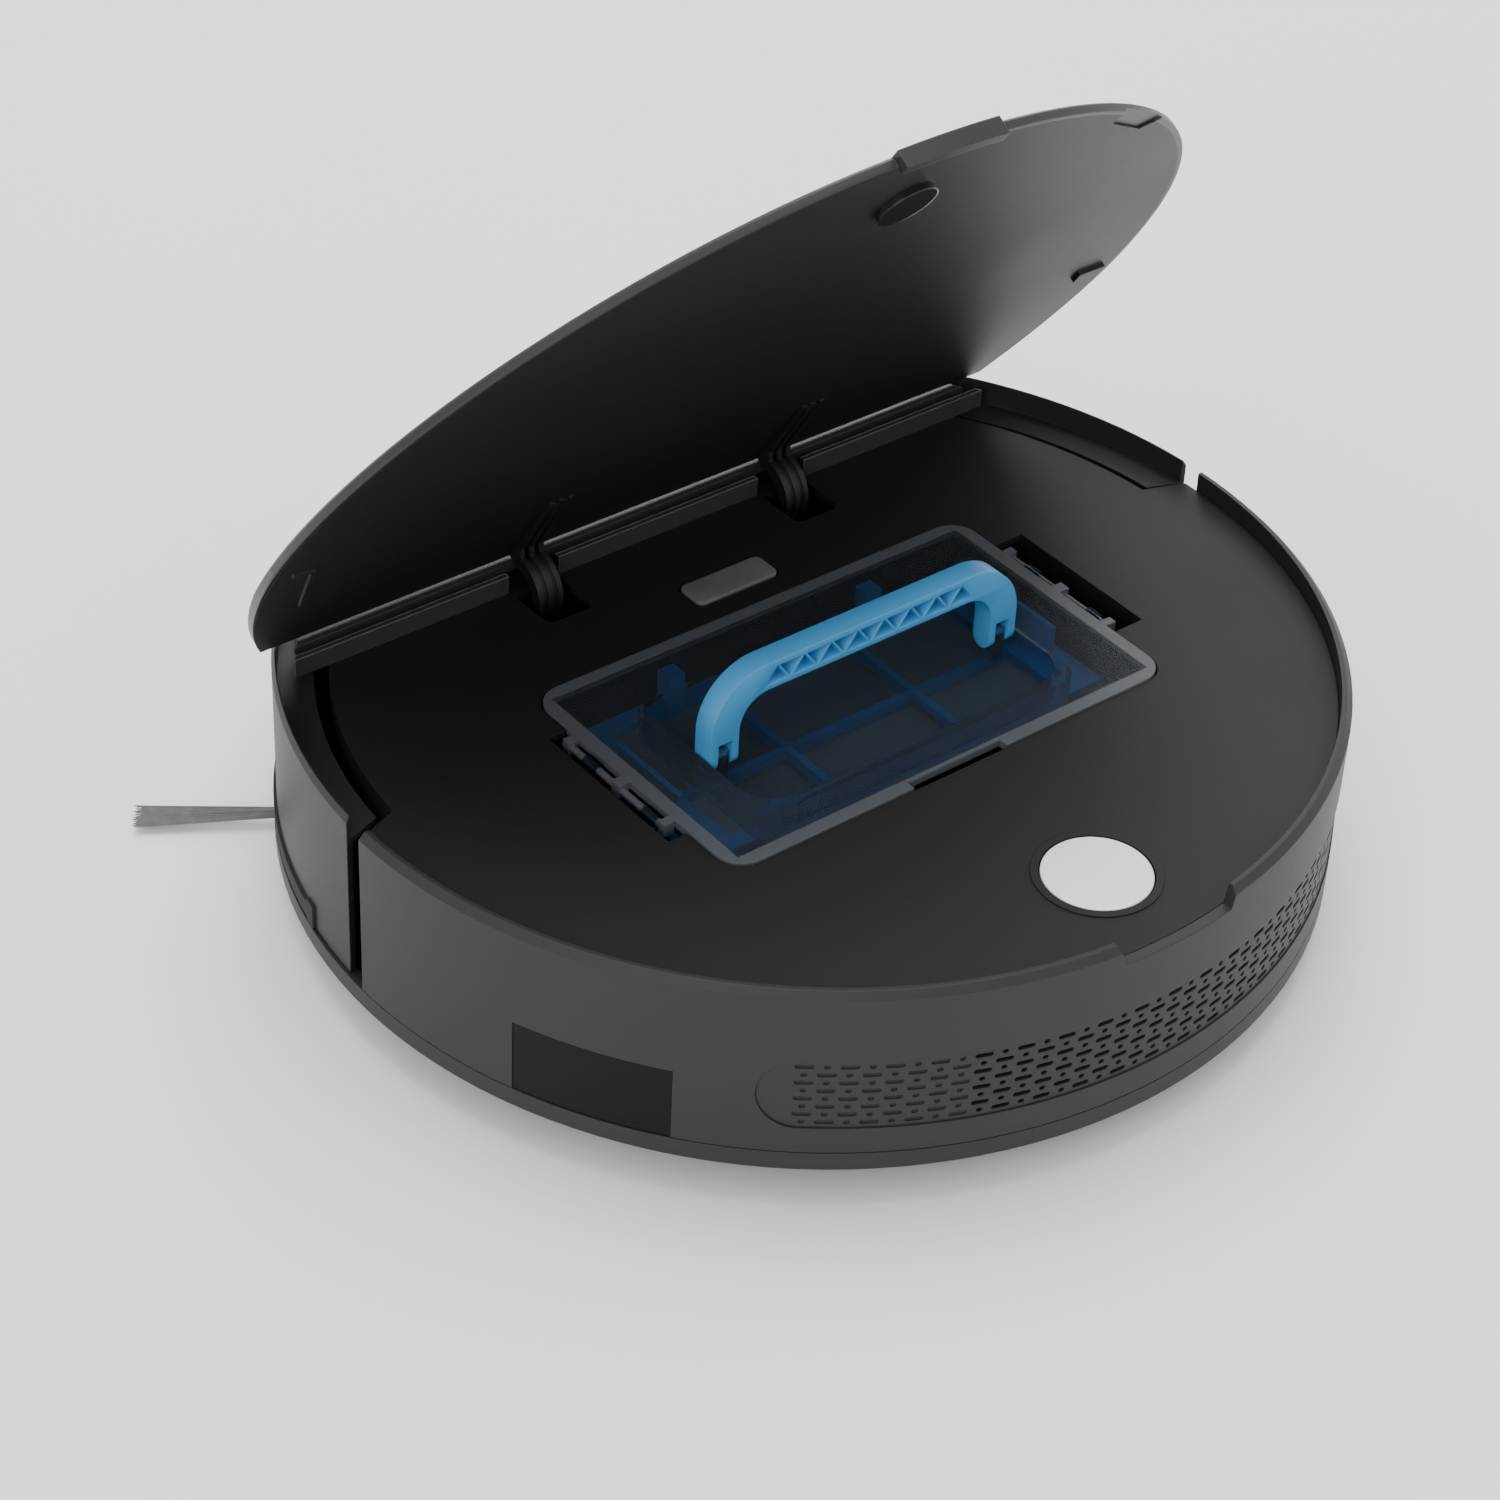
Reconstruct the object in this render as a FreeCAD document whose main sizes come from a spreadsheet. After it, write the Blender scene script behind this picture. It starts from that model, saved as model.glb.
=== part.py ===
import FreeCAD, Part
import Sketcher
import os
import re

# A round household robot vacuum cleaner, standing on its wheels with its lid open.
# Millimetres. +Z is up and +Y is the bumper and hinge side. The origin is on the floor
# under the middle of the round body. The lid is drawn closed and then turned open.

V = FreeCAD.Vector

SIZES = {
    # shells
    "body_radius": 165, "rim_z": 78, "rim_wall": 3.5, "rim_bevel": 2, "shell_wall": 2.6,
    "seam_z": 20, "seam_gap": 0.4, "floor_z": 10, "floor_wall": 2.5, "floor_bevel": 4,
    "deck_drop": 6.5, "deck_wall": 2.5, "deck_gap": 0.2, "ledge_width": 5,
    "shell_end_y": -1.5, "deck_end_y": 3.5, "end_slope": 0.36,
    "boss_inset": 10, "boss_radius": 4,
    # window and exhaust grille, as angles and heights on the rear wall
    "window_start": -158.5, "window_end": -141.6, "window_top": 45, "window_wall": 2.2,
    "grille_start": -133.6, "grille_end": -46.4, "grille_low": 29.3, "grille_top": 53.8,
    "grille_wall": 1.6, "grille_recess": 0.5, "slot_open_start": -113, "slot_open_end": -51,
    "slot_pitch": 3, "slot_height": 1.5, "rib_width": 1.3, "notch_half": 20.4,
    # bumper
    "strip_proud": 1, "bumper_wall": 2.5, "bumper_rise": 0.6, "bumper_end_y": 6.5,
    "bumper_top_wall": 1.5, "bumper_ledge": 12.5, "ledge_drop": 8.5, "bumper_depth": 18,
    "strip_low": 21.6, "strip_high": 27, "strip_end_high": 28.5, "strip_half_angle": 78,
    "guide_x": 50, "guide_z": 32, "guide_radius": 2, "guide_gap": 0.3,
    "chassis_wall": 2.5,
    # hinge zone and front cap
    "hinge_y": 81.5, "hinge_drop": 19.2, "lid_open": 55, "arm_x": 49, "arm_width": 9,
    "arm_bend": 10.6, "arm_core": 2.8, "arm_rib": 4.4, "arm_rib_width": 1.8, "arm_eye": 3.6,
    "pin_radius": 1.5, "pin_gap": 0.05, "ear_gap": 0.7, "ear_wall": 2.3, "arm_room": 9.5,
    "pocket_half": 8.7, "pocket_rear": 58, "pocket_front": 77, "pocket_corner": 3,
    "trim_lip": 2, "trim_floor": 1.5, "cap_inset": 8, "cap_wall": 3, "cap_rear_y": 84.2,
    # lid
    "lid_gap": 0.7, "lid_thickness": 3.2, "liner_wall": 0.8, "lid_border": 2, "lid_back": 12.8,
    "tab_half": 18, "tab_reach": 3.4, "tab_drop": 5.7, "lens_radius": 9.5, "lens_rise": 2.2,
    "lens_y": -131, "lid_relief": 6,
    # dustbin, its well and cover
    "bin_side_room": 15, "bin_rear_y": -70, "bin_front_y": 30, "bin_corner": 9,
    "bin_wall": 1.8, "bin_lip": 3, "flange_wall": 1.8, "flange_drop": 2.2, "pocket_gap": 0.6,
    "well_wall": 1.5, "cut_left": 7, "cut_right": 12,
    "cover_rise": 0.5, "cover_gap": 0.2, "recess_half": 60, "recess_rear": -53,
    "recess_front": 9, "recess_depth": 10.5, "grip_half": 17.9,
    "inlet_half": 58, "inlet_low": 26, "inlet_high": 40,
    # filter
    "filter_z": 54, "filter_wall": 3, "filter_side_gap": 3, "filter_rear": -48,
    "filter_front": 23, "pleat_depth": 10,
    # carry handle
    "handle_half": 59.5, "handle_leg": 10.5, "handle_reach": 28.9, "handle_bar": 9.7,
    "handle_depth": 7.6, "handle_corner": 20, "eyelet_radius": 3.8, "pivot_x": 54,
    "pivot_y": -22.5, "pivot_drop": 0.9, "post_width": 4, "post_gap": 0.5, "truss_pitch": 5.1,
    # latches
    "latch_out": 2.4, "latch_drop": 2.1, "knuckle_radius": 2.2, "latch_pin": 1.2,
    "latch_rear": -38, "latch_front": -1, "latch_plate": 1.4, "latch_reach": 9.4,
    # service flap and power button
    "flap_left": -13.6, "flap_right": 17.8, "flap_rear": 39, "flap_front": 50.5,
    "flap_wall": 2, "flap_rise": 0.8, "flap_gap": 0.6, "button_y": -129.8,
    "button_radius": 16.4, "button_gap": 0.4, "button_wall": 1.3, "button_rise": 0.4,
    "stem_radius": 3, "stem_length": 6.6, "press_room": 1.2, "collar_width": 2.5,
    # drive wheels
    "wheel_radius": 32, "wheel_width": 17, "wheel_inset": 47, "wheel_y": -24, "tyre_wall": 6,
    "housing_inside": 19, "housing_outside": 15, "housing_wall": 2, "housing_rear": 38,
    "housing_front": 52, "housing_top": 67.5, "swing_length": 40, "swing_z": 30,
    "gearbox_wall": 5.5, "gearbox_gap": 1, "swing_pin": 2.5, "axle_radius": 3,
    "shaft_gap": 0.05,
    # caster
    "caster_inset": 37, "caster_trail": 6, "caster_radius": 12, "caster_width": 15,
    "fork_gap": 0.7, "fork_wall": 2, "fork_top": 27.5, "stem_top": 37, "caster_stem": 4,
    "socket_inner": 20.5, "socket_wall": 1.5, "caster_axle": 2,
    # side brushes
    "brush_inset": 20.8, "brush_angle": 37, "hub_radius": 11, "hub_low": 5, "hub_gap": 0.5,
    "tuft_length": 68, "tuft_width": 5, "tuft_angle": 36, "side_motor_radius": 13,
    "side_motor_height": 21.5, "side_shaft": 2.5, "side_shaft_length": 9,
    # main brush
    "brush_ahead": 27, "brush_z": 23, "brush_radius": 17.5, "brush_half": 84,
    "brush_core": 6, "fin_width": 2.4, "chamber_gap": 1.5, "chamber_wall": 1.5,
    "chamber_half": 90, "brush_shaft": 3, "mouth_half": 87, "mouth_width": 33,
    "guard_low": 3.8, "guard_wall": 1.4, "brush_motor_radius": 10, "brush_motor_length": 24,
    # fan, battery and electronics
    "fan_x": 48, "fan_behind": 40, "fan_radius": 34, "fan_wall": 1.5, "fan_top": 55,
    "rotor_gap": 2.5, "rotor_low": 30, "rotor_high": 45, "fan_shaft": 2,
    "battery_left": -97, "battery_right": -17, "battery_depth": 48, "battery_top": 48,
    "battery_behind": 6, "board_half": 55, "board_z": 50, "board_wall": 1.6,
    "board_inset": 39, "post_radius": 3, "switch_x": 75, "switch_inset": 35,
    "contact_x": 32, "contact_inset": 27, "speaker_x": 100, "speaker_behind": 20,
    "speaker_radius": 14,
}

doc = FreeCAD.newDocument("robot_vacuum")
sheet = doc.addObject("Spreadsheet::Sheet", "sizes")
for row, (name, value) in enumerate(SIZES.items(), 1):
    sheet.set(f"A{row}", name)
    sheet.set(f"B{row}", str(value))
    sheet.setAlias(f"B{row}", name)
doc.recompute()

nodes = []


# ---- modelling helpers: every length is a number or an expression on the sheet ----

def rule(value):
    def qualify(match):
        word = match.group(0)
        return f"sizes.{word}" if word in SIZES else word
    return re.sub(r"[a-z][a-z_]+", qualify, str(value))


def number(value):
    return float(sheet.evalExpression(rule(value)))


def bind(obj, prop, value):
    obj.setExpression(prop, rule(value))


def seat(obj, x, y, z):
    bind(obj, "Placement.Base.x", x)
    bind(obj, "Placement.Base.y", y)
    bind(obj, "Placement.Base.z", z)


def box(x0, x1, y0, y1, z0, z1):
    solid = doc.addObject("Part::Box", "box")
    bind(solid, "Length", f"({x1})-({x0})")
    bind(solid, "Width", f"({y1})-({y0})")
    bind(solid, "Height", f"({z1})-({z0})")
    seat(solid, x0, y0, z0)
    return solid


TURNS = {
    "X": FreeCAD.Rotation(V(0, 1, 0), 90),
    "Y": FreeCAD.Rotation(V(1, 0, 0), -90),
    "Z": FreeCAD.Rotation(),
}


def rod(axis, u, v, start, end, radius, end_radius=None):
    """A cylinder or cone along X, Y or Z; u and v are the other two coordinates."""
    if end_radius is None:
        solid = doc.addObject("Part::Cylinder", "rod")
        bind(solid, "Radius", radius)
    else:
        solid = doc.addObject("Part::Cone", "cone")
        bind(solid, "Radius1", radius)
        bind(solid, "Radius2", end_radius)
    bind(solid, "Height", f"({end})-({start})")
    solid.Placement = FreeCAD.Placement(V(), TURNS[axis])
    where = {"X": (start, u, v), "Y": (u, start, v), "Z": (u, v, start)}[axis]
    seat(solid, *where)
    return solid


PLANES = {
    "XY": (FreeCAD.Rotation(), "z", V(0, 0, 1)),
    "XZ": (FreeCAD.Rotation(V(1, 0, 0), 90), "y", V(0, 1, 0)),
    "YZ": (FreeCAD.Rotation(V(1, 1, 1), 120), "x", V(1, 0, 0)),
}


def outline(plane, points, offset=0):
    """A closed polygon sketch whose every corner is dimensioned from the sheet."""
    turn, letter, _ = PLANES[plane]
    sketch = doc.addObject("Sketcher::SketchObject", "outline")
    sketch.Placement = FreeCAD.Placement(V(), turn)
    bind(sketch, f"Placement.Base.{letter}", offset)
    corners = [V(number(u), number(v), 0) for u, v in points]
    count = len(corners)
    for i in range(count):
        sketch.addGeometry(Part.LineSegment(corners[i], corners[(i + 1) % count]), False)
    for i in range(count):
        sketch.addConstraint(Sketcher.Constraint("Coincident", i, 2, (i + 1) % count, 1))
    for i, (u, v) in enumerate(points):
        for kind, value, guess in (("DistanceX", u, corners[i].x), ("DistanceY", v, corners[i].y)):
            k = sketch.addConstraint(Sketcher.Constraint(kind, -1, 1, i, 1, guess))
            sketch.setExpression(f"Constraints[{k}]", rule(value))
    return sketch


def prism(plane, points, start, end):
    solid = doc.addObject("Part::Extrusion", "prism")
    solid.Base = outline(plane, points, start)
    solid.DirMode = "Custom"
    solid.Dir = PLANES[plane][2]
    solid.Solid = True
    bind(solid, "LengthFwd", f"({end})-({start})")
    return solid


def turned(points):
    """A solid of revolution about the Z axis from (radius, height) corners."""
    solid = doc.addObject("Part::Revolution", "turned")
    solid.Source = outline("XZ", points)
    solid.Axis = V(0, 0, 1)
    solid.Base = V(0, 0, 0)
    solid.Angle = 360
    solid.Solid = True
    return solid


def fuse(*shapes):
    joined = doc.addObject("Part::MultiFuse", "joined")
    joined.Shapes = list(shapes)
    return joined


def cut(base, *tools):
    result = doc.addObject("Part::Cut", "cut")
    result.Base = base
    result.Tool = tools[0] if len(tools) == 1 else fuse(*tools)
    return result


def common(first, second):
    result = doc.addObject("Part::Common", "common")
    result.Base = first
    result.Tool = second
    return result


def mirrored(shape):
    result = doc.addObject("Part::Mirroring", "mirrored")
    result.Source = shape
    result.Normal = V(1, 0, 0)
    return result


def rounded(shape, radius, edges):
    result = doc.addObject("Part::Fillet", "rounded")
    result.Base = shape
    result.Edges = [(i, number(radius), number(radius)) for i in edges]
    return result


UPRIGHT_EDGES = (1, 3, 5, 7)


def plate(x0, x1, y0, y1, z0, z1, corner):
    return rounded(box(x0, x1, y0, y1, z0, z1), corner, UPRIGHT_EDGES)


def wedge(start, end, z0, z1):
    """A pie slice about the Z axis, wide enough to reach past the body."""
    middle = f"(({start})+({end}))/2"
    points = [(0, 0)]
    for angle in (start, f"(({start})+({middle}))/2", middle, f"(({end})+({middle}))/2", end):
        points.append((f"body_radius*1.5*cos({angle})", f"body_radius*1.5*sin({angle})"))
    return prism("XY", points, z0, z1)


def spin(shape, axis, angle, x=0, y=0, z=0):
    """A turned copy, about an axis through (x, y, z)."""
    holder = doc.addObject("Part::Compound", "spun")
    holder.Links = [shape]
    centre = V(number(x), number(y), number(z))
    holder.Placement = FreeCAD.Placement(V(), FreeCAD.Rotation(axis, number(angle)), centre)
    return holder


def piece(shape, node):
    shape.Label = node
    nodes.append(shape)


def pair(shape, node):
    piece(shape, f"{node}_right")
    piece(mirrored(shape), f"{node}_left")


def bar(start, end, width, z0, z1):
    """A straight rib in plan between two points given as numbers."""
    along = V(end[0] - start[0], end[1] - start[1], 0)
    side = V(-along.y, along.x, 0).normalize() * (width / 2)
    corners = [V(*start, 0) + side, V(*end, 0) + side, V(*end, 0) - side, V(*start, 0) - side]
    return prism("XY", [(c.x, c.y) for c in corners], z0, z1)


# ---- heights and radii that several pieces share ----

tray_top = "(floor_z+floor_wall)"
shell_low = "(seam_z+seam_gap)"
shell_inner = "(body_radius-shell_wall)"
rim_inner = "(body_radius-rim_wall)"
deck_top = "(rim_z-deck_drop)"
deck_low = "(rim_z-deck_drop-deck_wall)"
deck_radius = "(body_radius-rim_wall-deck_gap)"
front_radius = "(body_radius-bumper_depth)"
bumper_radius = "(body_radius-strip_proud)"
bumper_inner = "(body_radius-strip_proud-bumper_wall)"
hinge_z = "(rim_z-hinge_drop)"
wheel_x = "(body_radius-wheel_inset)"
bin_half = "(body_radius-wheel_inset-housing_inside-bin_side_room)"
caster_y = "(body_radius-caster_inset)"
brush_y = "(bin_front_y+brush_ahead)"
side_x = "((body_radius-brush_inset)*cos(brush_angle))"
side_y = "((body_radius-brush_inset)*sin(brush_angle))"
fan_y = "(bin_rear_y-fan_behind)"
speaker_y = "(bin_rear_y-speaker_behind)"
far = "(body_radius+40)"


# ---- base tray ----

tray = turned([
    (0, "floor_z"),
    ("body_radius-floor_bevel", "floor_z"),
    ("body_radius", "floor_z+floor_bevel"),
    ("body_radius", "seam_z"),
    ("body_radius-floor_bevel", "seam_z"),
    ("body_radius-floor_bevel", tray_top),
    (0, tray_top),
])
well_x0 = f"({wheel_x}-housing_inside+housing_wall)"
well_x1 = f"({wheel_x}+housing_outside-housing_wall)"
well_y0 = "(wheel_y-housing_rear+housing_wall)"
well_y1 = "(wheel_y+housing_front-housing_wall)"
wheel_mouth = box(well_x0, well_x1, well_y0, well_y1, "floor_z-1", f"{tray_top}+1")
side_hole = rod("Z", side_x, side_y, "floor_z-1", f"{tray_top}+1", "side_shaft+0.6")
battery_front = "(bin_rear_y-battery_behind)"
battery_rear = "(bin_rear_y-battery_behind-battery_depth)"
piece(cut(
    tray,
    wheel_mouth, mirrored(wheel_mouth), side_hole, mirrored(side_hole),
    rod("Z", 0, caster_y, "floor_z-1", f"{tray_top}+1", "socket_inner"),
    box("-mouth_half", "mouth_half", f"{brush_y}-mouth_width/2", f"{brush_y}+mouth_width/2",
        "floor_z-1", f"{tray_top}+1"),
    box("battery_left+5", "battery_right-5", f"{battery_rear}+5", f"{battery_front}-5",
        "floor_z-1", f"{tray_top}+1"),
), "base_tray")

# ---- rear shell, window and exhaust grille ----

ring = turned([
    (shell_inner, shell_low),
    ("body_radius", shell_low),
    ("body_radius", "rim_z-rim_bevel"),
    ("body_radius-rim_bevel", "rim_z"),
    (rim_inner, "rim_z"),
    (rim_inner, deck_low),
    (f"{shell_inner}-ledge_width", deck_low),
    (f"{shell_inner}-ledge_width", f"{deck_low}-2.5"),
    (shell_inner, f"{deck_low}-2.5"),
])
bosses = []
for angle in (-163, -137, -43, -17):
    bosses.append(rod(
        "Z", f"(body_radius-boss_inset)*cos({angle})", f"(body_radius-boss_inset)*sin({angle})",
        tray_top, deck_low, "boss_radius"))
window_zone = wedge("window_start", "window_end", f"{shell_low}-1", "window_top")
grille_round = "((grille_top-grille_low)/2)"
round_angle = f"({grille_round}/body_radius*57.2958)"
end_round = rod("X", 0, f"grille_low+{grille_round}", "body_radius*0.8", far, grille_round)
grille_zone = fuse(
    wedge(f"grille_start+{round_angle}", f"grille_end-{round_angle}", "grille_low", "grille_top"),
    spin(end_round, V(0, 0, 1), f"grille_start+{round_angle}"),
    spin(end_round, V(0, 0, 1), f"grille_end-{round_angle}"))
notch = prism("XZ", [
    ("-notch_half", deck_top),
    ("notch_half", deck_top),
    ("notch_half+2.1", "rim_z+1"),
    ("-notch_half-2.1", "rim_z+1"),
], f"-{far}", "-body_radius+7")
rear = common(fuse(ring, *bosses), box(f"-{far}", far, f"-{far}", "shell_end_y", 0, far))
wall_band = cut(
    rod("Z", 0, 0, "floor_z", deck_low, f"{far}"),
    rod("Z", 0, 0, "floor_z", deck_low, f"{shell_inner}-0.2"))
piece(cut(rear, common(wall_band, fuse(window_zone, grille_zone)), notch), "rear_shell")

window_ring = cut(
    rod("Z", 0, 0, shell_low, "window_top", "body_radius-0.3"),
    rod("Z", 0, 0, "floor_z", "rim_z", "body_radius-0.3-window_wall"))
piece(common(window_ring, window_zone), "smoked_window")

grille_outer = "(body_radius-grille_recess)"
grille_ring = cut(
    rod("Z", 0, 0, "grille_low", "grille_top", grille_outer),
    rod("Z", 0, 0, "floor_z", "rim_z", f"{grille_outer}-grille_wall"))
bands = []
for row in range(8):
    low = f"grille_low+0.7+slot_pitch*{row}"
    bands.append(rod("Z", 0, 0, low, f"{low}+slot_height", f"{far}"))
ribs = []
for step in range(16):
    angle = f"(slot_open_start+(slot_open_end-slot_open_start)*{step}/15)"
    rib = box(0, far, "-rib_width/2", "rib_width/2", "grille_low", "grille_top")
    ribs.append(spin(rib, V(0, 0, 1), angle))
slots = cut(common(fuse(*bands), wedge("slot_open_start", "slot_open_end", 0, "rim_z")), *ribs)
piece(cut(common(grille_ring, grille_zone), slots), "exhaust_grille")

# ---- bumper, its rubber strip and guides ----

ledge_z = "(rim_z-ledge_drop)"
bumper_ring = turned([
    (bumper_inner, f"{shell_low}+bumper_rise-seam_gap"),
    (bumper_radius, f"{shell_low}+bumper_rise-seam_gap"),
    (bumper_radius, "rim_z-rim_bevel"),
    (f"{bumper_radius}-bumper_top_wall+0.4", "rim_z"),
    (f"{bumper_radius}-bumper_top_wall", "rim_z"),
    (f"{bumper_radius}-bumper_top_wall", ledge_z),
    (f"{bumper_radius}-bumper_ledge", ledge_z),
    (f"{bumper_radius}-bumper_ledge", f"{ledge_z}-2"),
    (bumper_inner, f"{ledge_z}-2"),
])
slanted = prism("XY", [
    (f"-{bumper_radius}-1", "bumper_end_y-end_slope"),
    (f"-{bumper_radius}+bumper_ledge+3", "bumper_end_y+end_slope*(bumper_ledge+3)"),
    (f"{bumper_radius}-bumper_ledge-3", "bumper_end_y+end_slope*(bumper_ledge+3)"),
    (f"{bumper_radius}+1", "bumper_end_y-end_slope"),
    (far, far),
    (f"-{far}", far),
], 0, far)
guide_wall = f"sqrt({bumper_inner}^2-guide_x^2)"
chassis_edge = f"sqrt({front_radius}^2-guide_x^2)"
guide_boss = cut(
    rod("Y", "guide_x", "guide_z", f"{chassis_edge}+7", f"{guide_wall}+1.2",
        "guide_radius+guide_gap+2"),
    rod("Y", "guide_x", "guide_z", 0, f"{guide_wall}-0.6", "guide_radius+guide_gap"))
bumper = fuse(common(bumper_ring, slanted), guide_boss, mirrored(guide_boss))
piece(bumper, "bumper")

strip_band = cut(
    rod("Z", 0, 0, "strip_low", "strip_high", "body_radius"),
    rod("Z", 0, 0, "floor_z", "rim_z", bumper_radius))
strip_tail = cut(
    rod("Z", 0, 0, "strip_low-1", "strip_end_high", "body_radius"),
    rod("Z", 0, 0, "floor_z", "rim_z", bumper_radius))
tail_zone = wedge("90-strip_half_angle-1.7", "90-strip_half_angle", 0, "rim_z")
piece(fuse(
    common(strip_band, wedge("90-strip_half_angle", "90+strip_half_angle", 0, "rim_z")),
    common(strip_tail, fuse(tail_zone, mirrored(tail_zone))),
), "bumper_strip")

# ---- deck ----

deck_zone = prism("XY", [
    (f"-{deck_radius}", "deck_end_y"),
    (f"-{front_radius}+2", f"deck_end_y+end_slope*({deck_radius}-{front_radius}+2)"),
    (f"{front_radius}-2", f"deck_end_y+end_slope*({deck_radius}-{front_radius}+2)"),
    (deck_radius, "deck_end_y"),
    (far, f"-{far}"),
    (f"-{far}", f"-{far}"),
], deck_low, deck_top)
rear_plate = common(rod("Z", 0, 0, deck_low, deck_top, deck_radius), deck_zone)
front_plate = rod("Z", 0, 0, deck_low, deck_top, front_radius)
above = f"{deck_top}+1"
below = f"{deck_low}-1"
bin_pocket = plate(
    f"-{bin_half}-pocket_gap", f"{bin_half}+pocket_gap", "bin_rear_y-pocket_gap",
    "bin_front_y+pocket_gap", below, above, "bin_corner+pocket_gap")
arm_pocket = plate(
    "arm_x-pocket_half", "arm_x+pocket_half", "pocket_rear", "pocket_front",
    below, above, "pocket_corner")
flap_floor = f"({deck_top}+flap_rise-flap_wall-0.3)"
piece(cut(
    fuse(rear_plate, front_plate),
    bin_pocket,
    box(f"-{bin_half}-cut_left", 0, -48, 11.3, below, above),
    box(0, f"{bin_half}+cut_right", -45.5, 12, below, above),
    arm_pocket, mirrored(arm_pocket),
    plate("flap_left-flap_gap", "flap_right+flap_gap", "flap_rear-flap_gap",
          "flap_front+flap_gap", flap_floor, above, 3),
    box("flap_left+6", "flap_right-6", "flap_rear+2", "flap_front-2", below, above),
    rod("Z", 0, "button_y", below, above, "button_radius+button_gap"),
), "deck_panel")

# ---- chassis wall behind the bumper ----

wall = cut(
    rod("Z", 0, 0, tray_top, deck_low, front_radius),
    rod("Z", 0, 0, tray_top, deck_low, f"{front_radius}-chassis_wall"))
wall = common(wall, box(f"-{far}", far, "bumper_end_y+6", far, 0, far))
side_motor_top = f"({tray_top}+side_motor_height)"
side_motor_room = rod("Z", side_x, side_y, 0, f"{side_motor_top}+2", "side_motor_radius+0.5")
switch_y = "(body_radius-switch_inset)"
switch_body = box("switch_x-7", "switch_x+7", f"{switch_y}-12", f"{switch_y}+5", 40, 50)
guide_pin = rod("Y", "guide_x", "guide_z", f"{chassis_edge}-1.5", f"{chassis_edge}+11.3",
                "guide_radius")
piece(fuse(
    cut(wall, side_motor_room, mirrored(side_motor_room), switch_body, mirrored(switch_body),
        rod("Z", 0, caster_y, 0, "stem_top+3", "socket_inner+socket_wall+0.3")),
    guide_pin, mirrored(guide_pin),
), "chassis_wall")

# ---- hinge trim and front cap ----

cap_radius = "(body_radius-cap_inset)"
arm_gap_zone = box("arm_x-arm_room", "arm_x+arm_room", 0, far, deck_top, far)
trim_rear = "(cap_rear_y-5.8)"
trim = fuse(
    box(f"-{far}", far, trim_rear, "cap_rear_y", deck_top, f"{deck_top}+trim_floor"),
    box(f"-{far}", far, trim_rear, f"{trim_rear}+trim_lip", deck_top, "rim_z"))
trim = common(trim, rod("Z", 0, 0, deck_top, "rim_z", cap_radius))
piece(cut(trim, arm_gap_zone, mirrored(arm_gap_zone)), "hinge_trim")

cap_zone = box(f"-{far}", far, "cap_rear_y", far, 0, far)
cap_top = turned([
    (0, "rim_z-cap_wall"),
    (f"{cap_radius}-0.6", "rim_z-cap_wall"),
    (cap_radius, "rim_z-cap_wall+0.6"),
    (cap_radius, "rim_z-0.8"),
    (f"{cap_radius}-0.8", "rim_z"),
    (0, "rim_z"),
])
cap_skirt = cut(
    rod("Z", 0, 0, deck_top, "rim_z-cap_wall", f"{front_radius}-0.5"),
    rod("Z", 0, 0, deck_top, "rim_z-cap_wall", f"{front_radius}-4"))
cap_back = common(
    rod("Z", 0, 0, deck_top, "rim_z-cap_wall", f"{front_radius}-0.5"),
    box(f"-{far}", far, "cap_rear_y", "cap_rear_y+2", 0, far))
cap_back = cut(cap_back, arm_gap_zone, mirrored(arm_gap_zone))
piece(fuse(common(fuse(cap_top, cap_skirt), cap_zone), cap_back), "front_cap")

# ---- hinge brackets with their pins, under the deck ----

ear_in = "(arm_width/2+ear_gap)"
ears = []
for side in ("-", "+"):
    inner = f"(arm_x{side}{ear_in})"
    outer = f"(arm_x{side}({ear_in}+ear_wall))"
    low, high = (outer, inner) if side == "-" else (inner, outer)
    ears.append(box(low, high, "hinge_y-5", "hinge_y+5", f"{hinge_z}-4.3", deck_low))
bridge = box(f"arm_x-{ear_in}-ear_wall", f"arm_x+{ear_in}+ear_wall", "hinge_y+1.5", "hinge_y+5",
             f"{deck_low}-2.4", deck_low)
bracket = fuse(*ears, bridge, rod("X", "hinge_y", hinge_z, f"arm_x-{ear_in}-ear_wall",
                                  f"arm_x+{ear_in}+ear_wall", "pin_radius"))
piece(fuse(bracket, mirrored(bracket)), "hinge_brackets")

# ---- lid, drawn closed ----

lid_radius = "(body_radius-rim_wall-lid_gap)"
liner_low = "(rim_z-lid_thickness)"
liner_top = "(rim_z-lid_thickness+liner_wall)"
lid_edge_y = "(hinge_y-lid_back)"
# the rear corners are relieved, so that they clear the bumper's rim as the lid swings up
lid_zone = common(box(f"-{far}", far, f"-{far}", lid_edge_y, 0, far),
                  rod("Z", 0, "-lid_relief", 0, far, lid_radius))
lid_disc = turned([
    (0, liner_top),
    (f"{lid_radius}-lid_border", liner_top),
    (f"{lid_radius}-lid_border", liner_low),
    (f"{lid_radius}-0.4", liner_low),
    (lid_radius, f"{liner_low}+0.4"),
    (lid_radius, "rim_z-0.8"),
    (f"{lid_radius}-0.8", "rim_z"),
    (0, "rim_z"),
])
tab = common(
    box("-tab_half", "tab_half", f"-{far}", f"-{lid_radius}+4", "rim_z-tab_drop", "rim_z"),
    rod("Z", 0, 0, 0, far, f"{lid_radius}+tab_reach"))
tab = cut(tab, rod("Z", 0, 0, 0, liner_top, f"{lid_radius}-0.6"))
edge_notch = prism("XY", [(78, -146), (76, -134), (94, -122), (108, -126)], liner_low, liner_top)
lid_cover = cut(common(fuse(lid_disc, tab), lid_zone), edge_notch)
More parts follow.
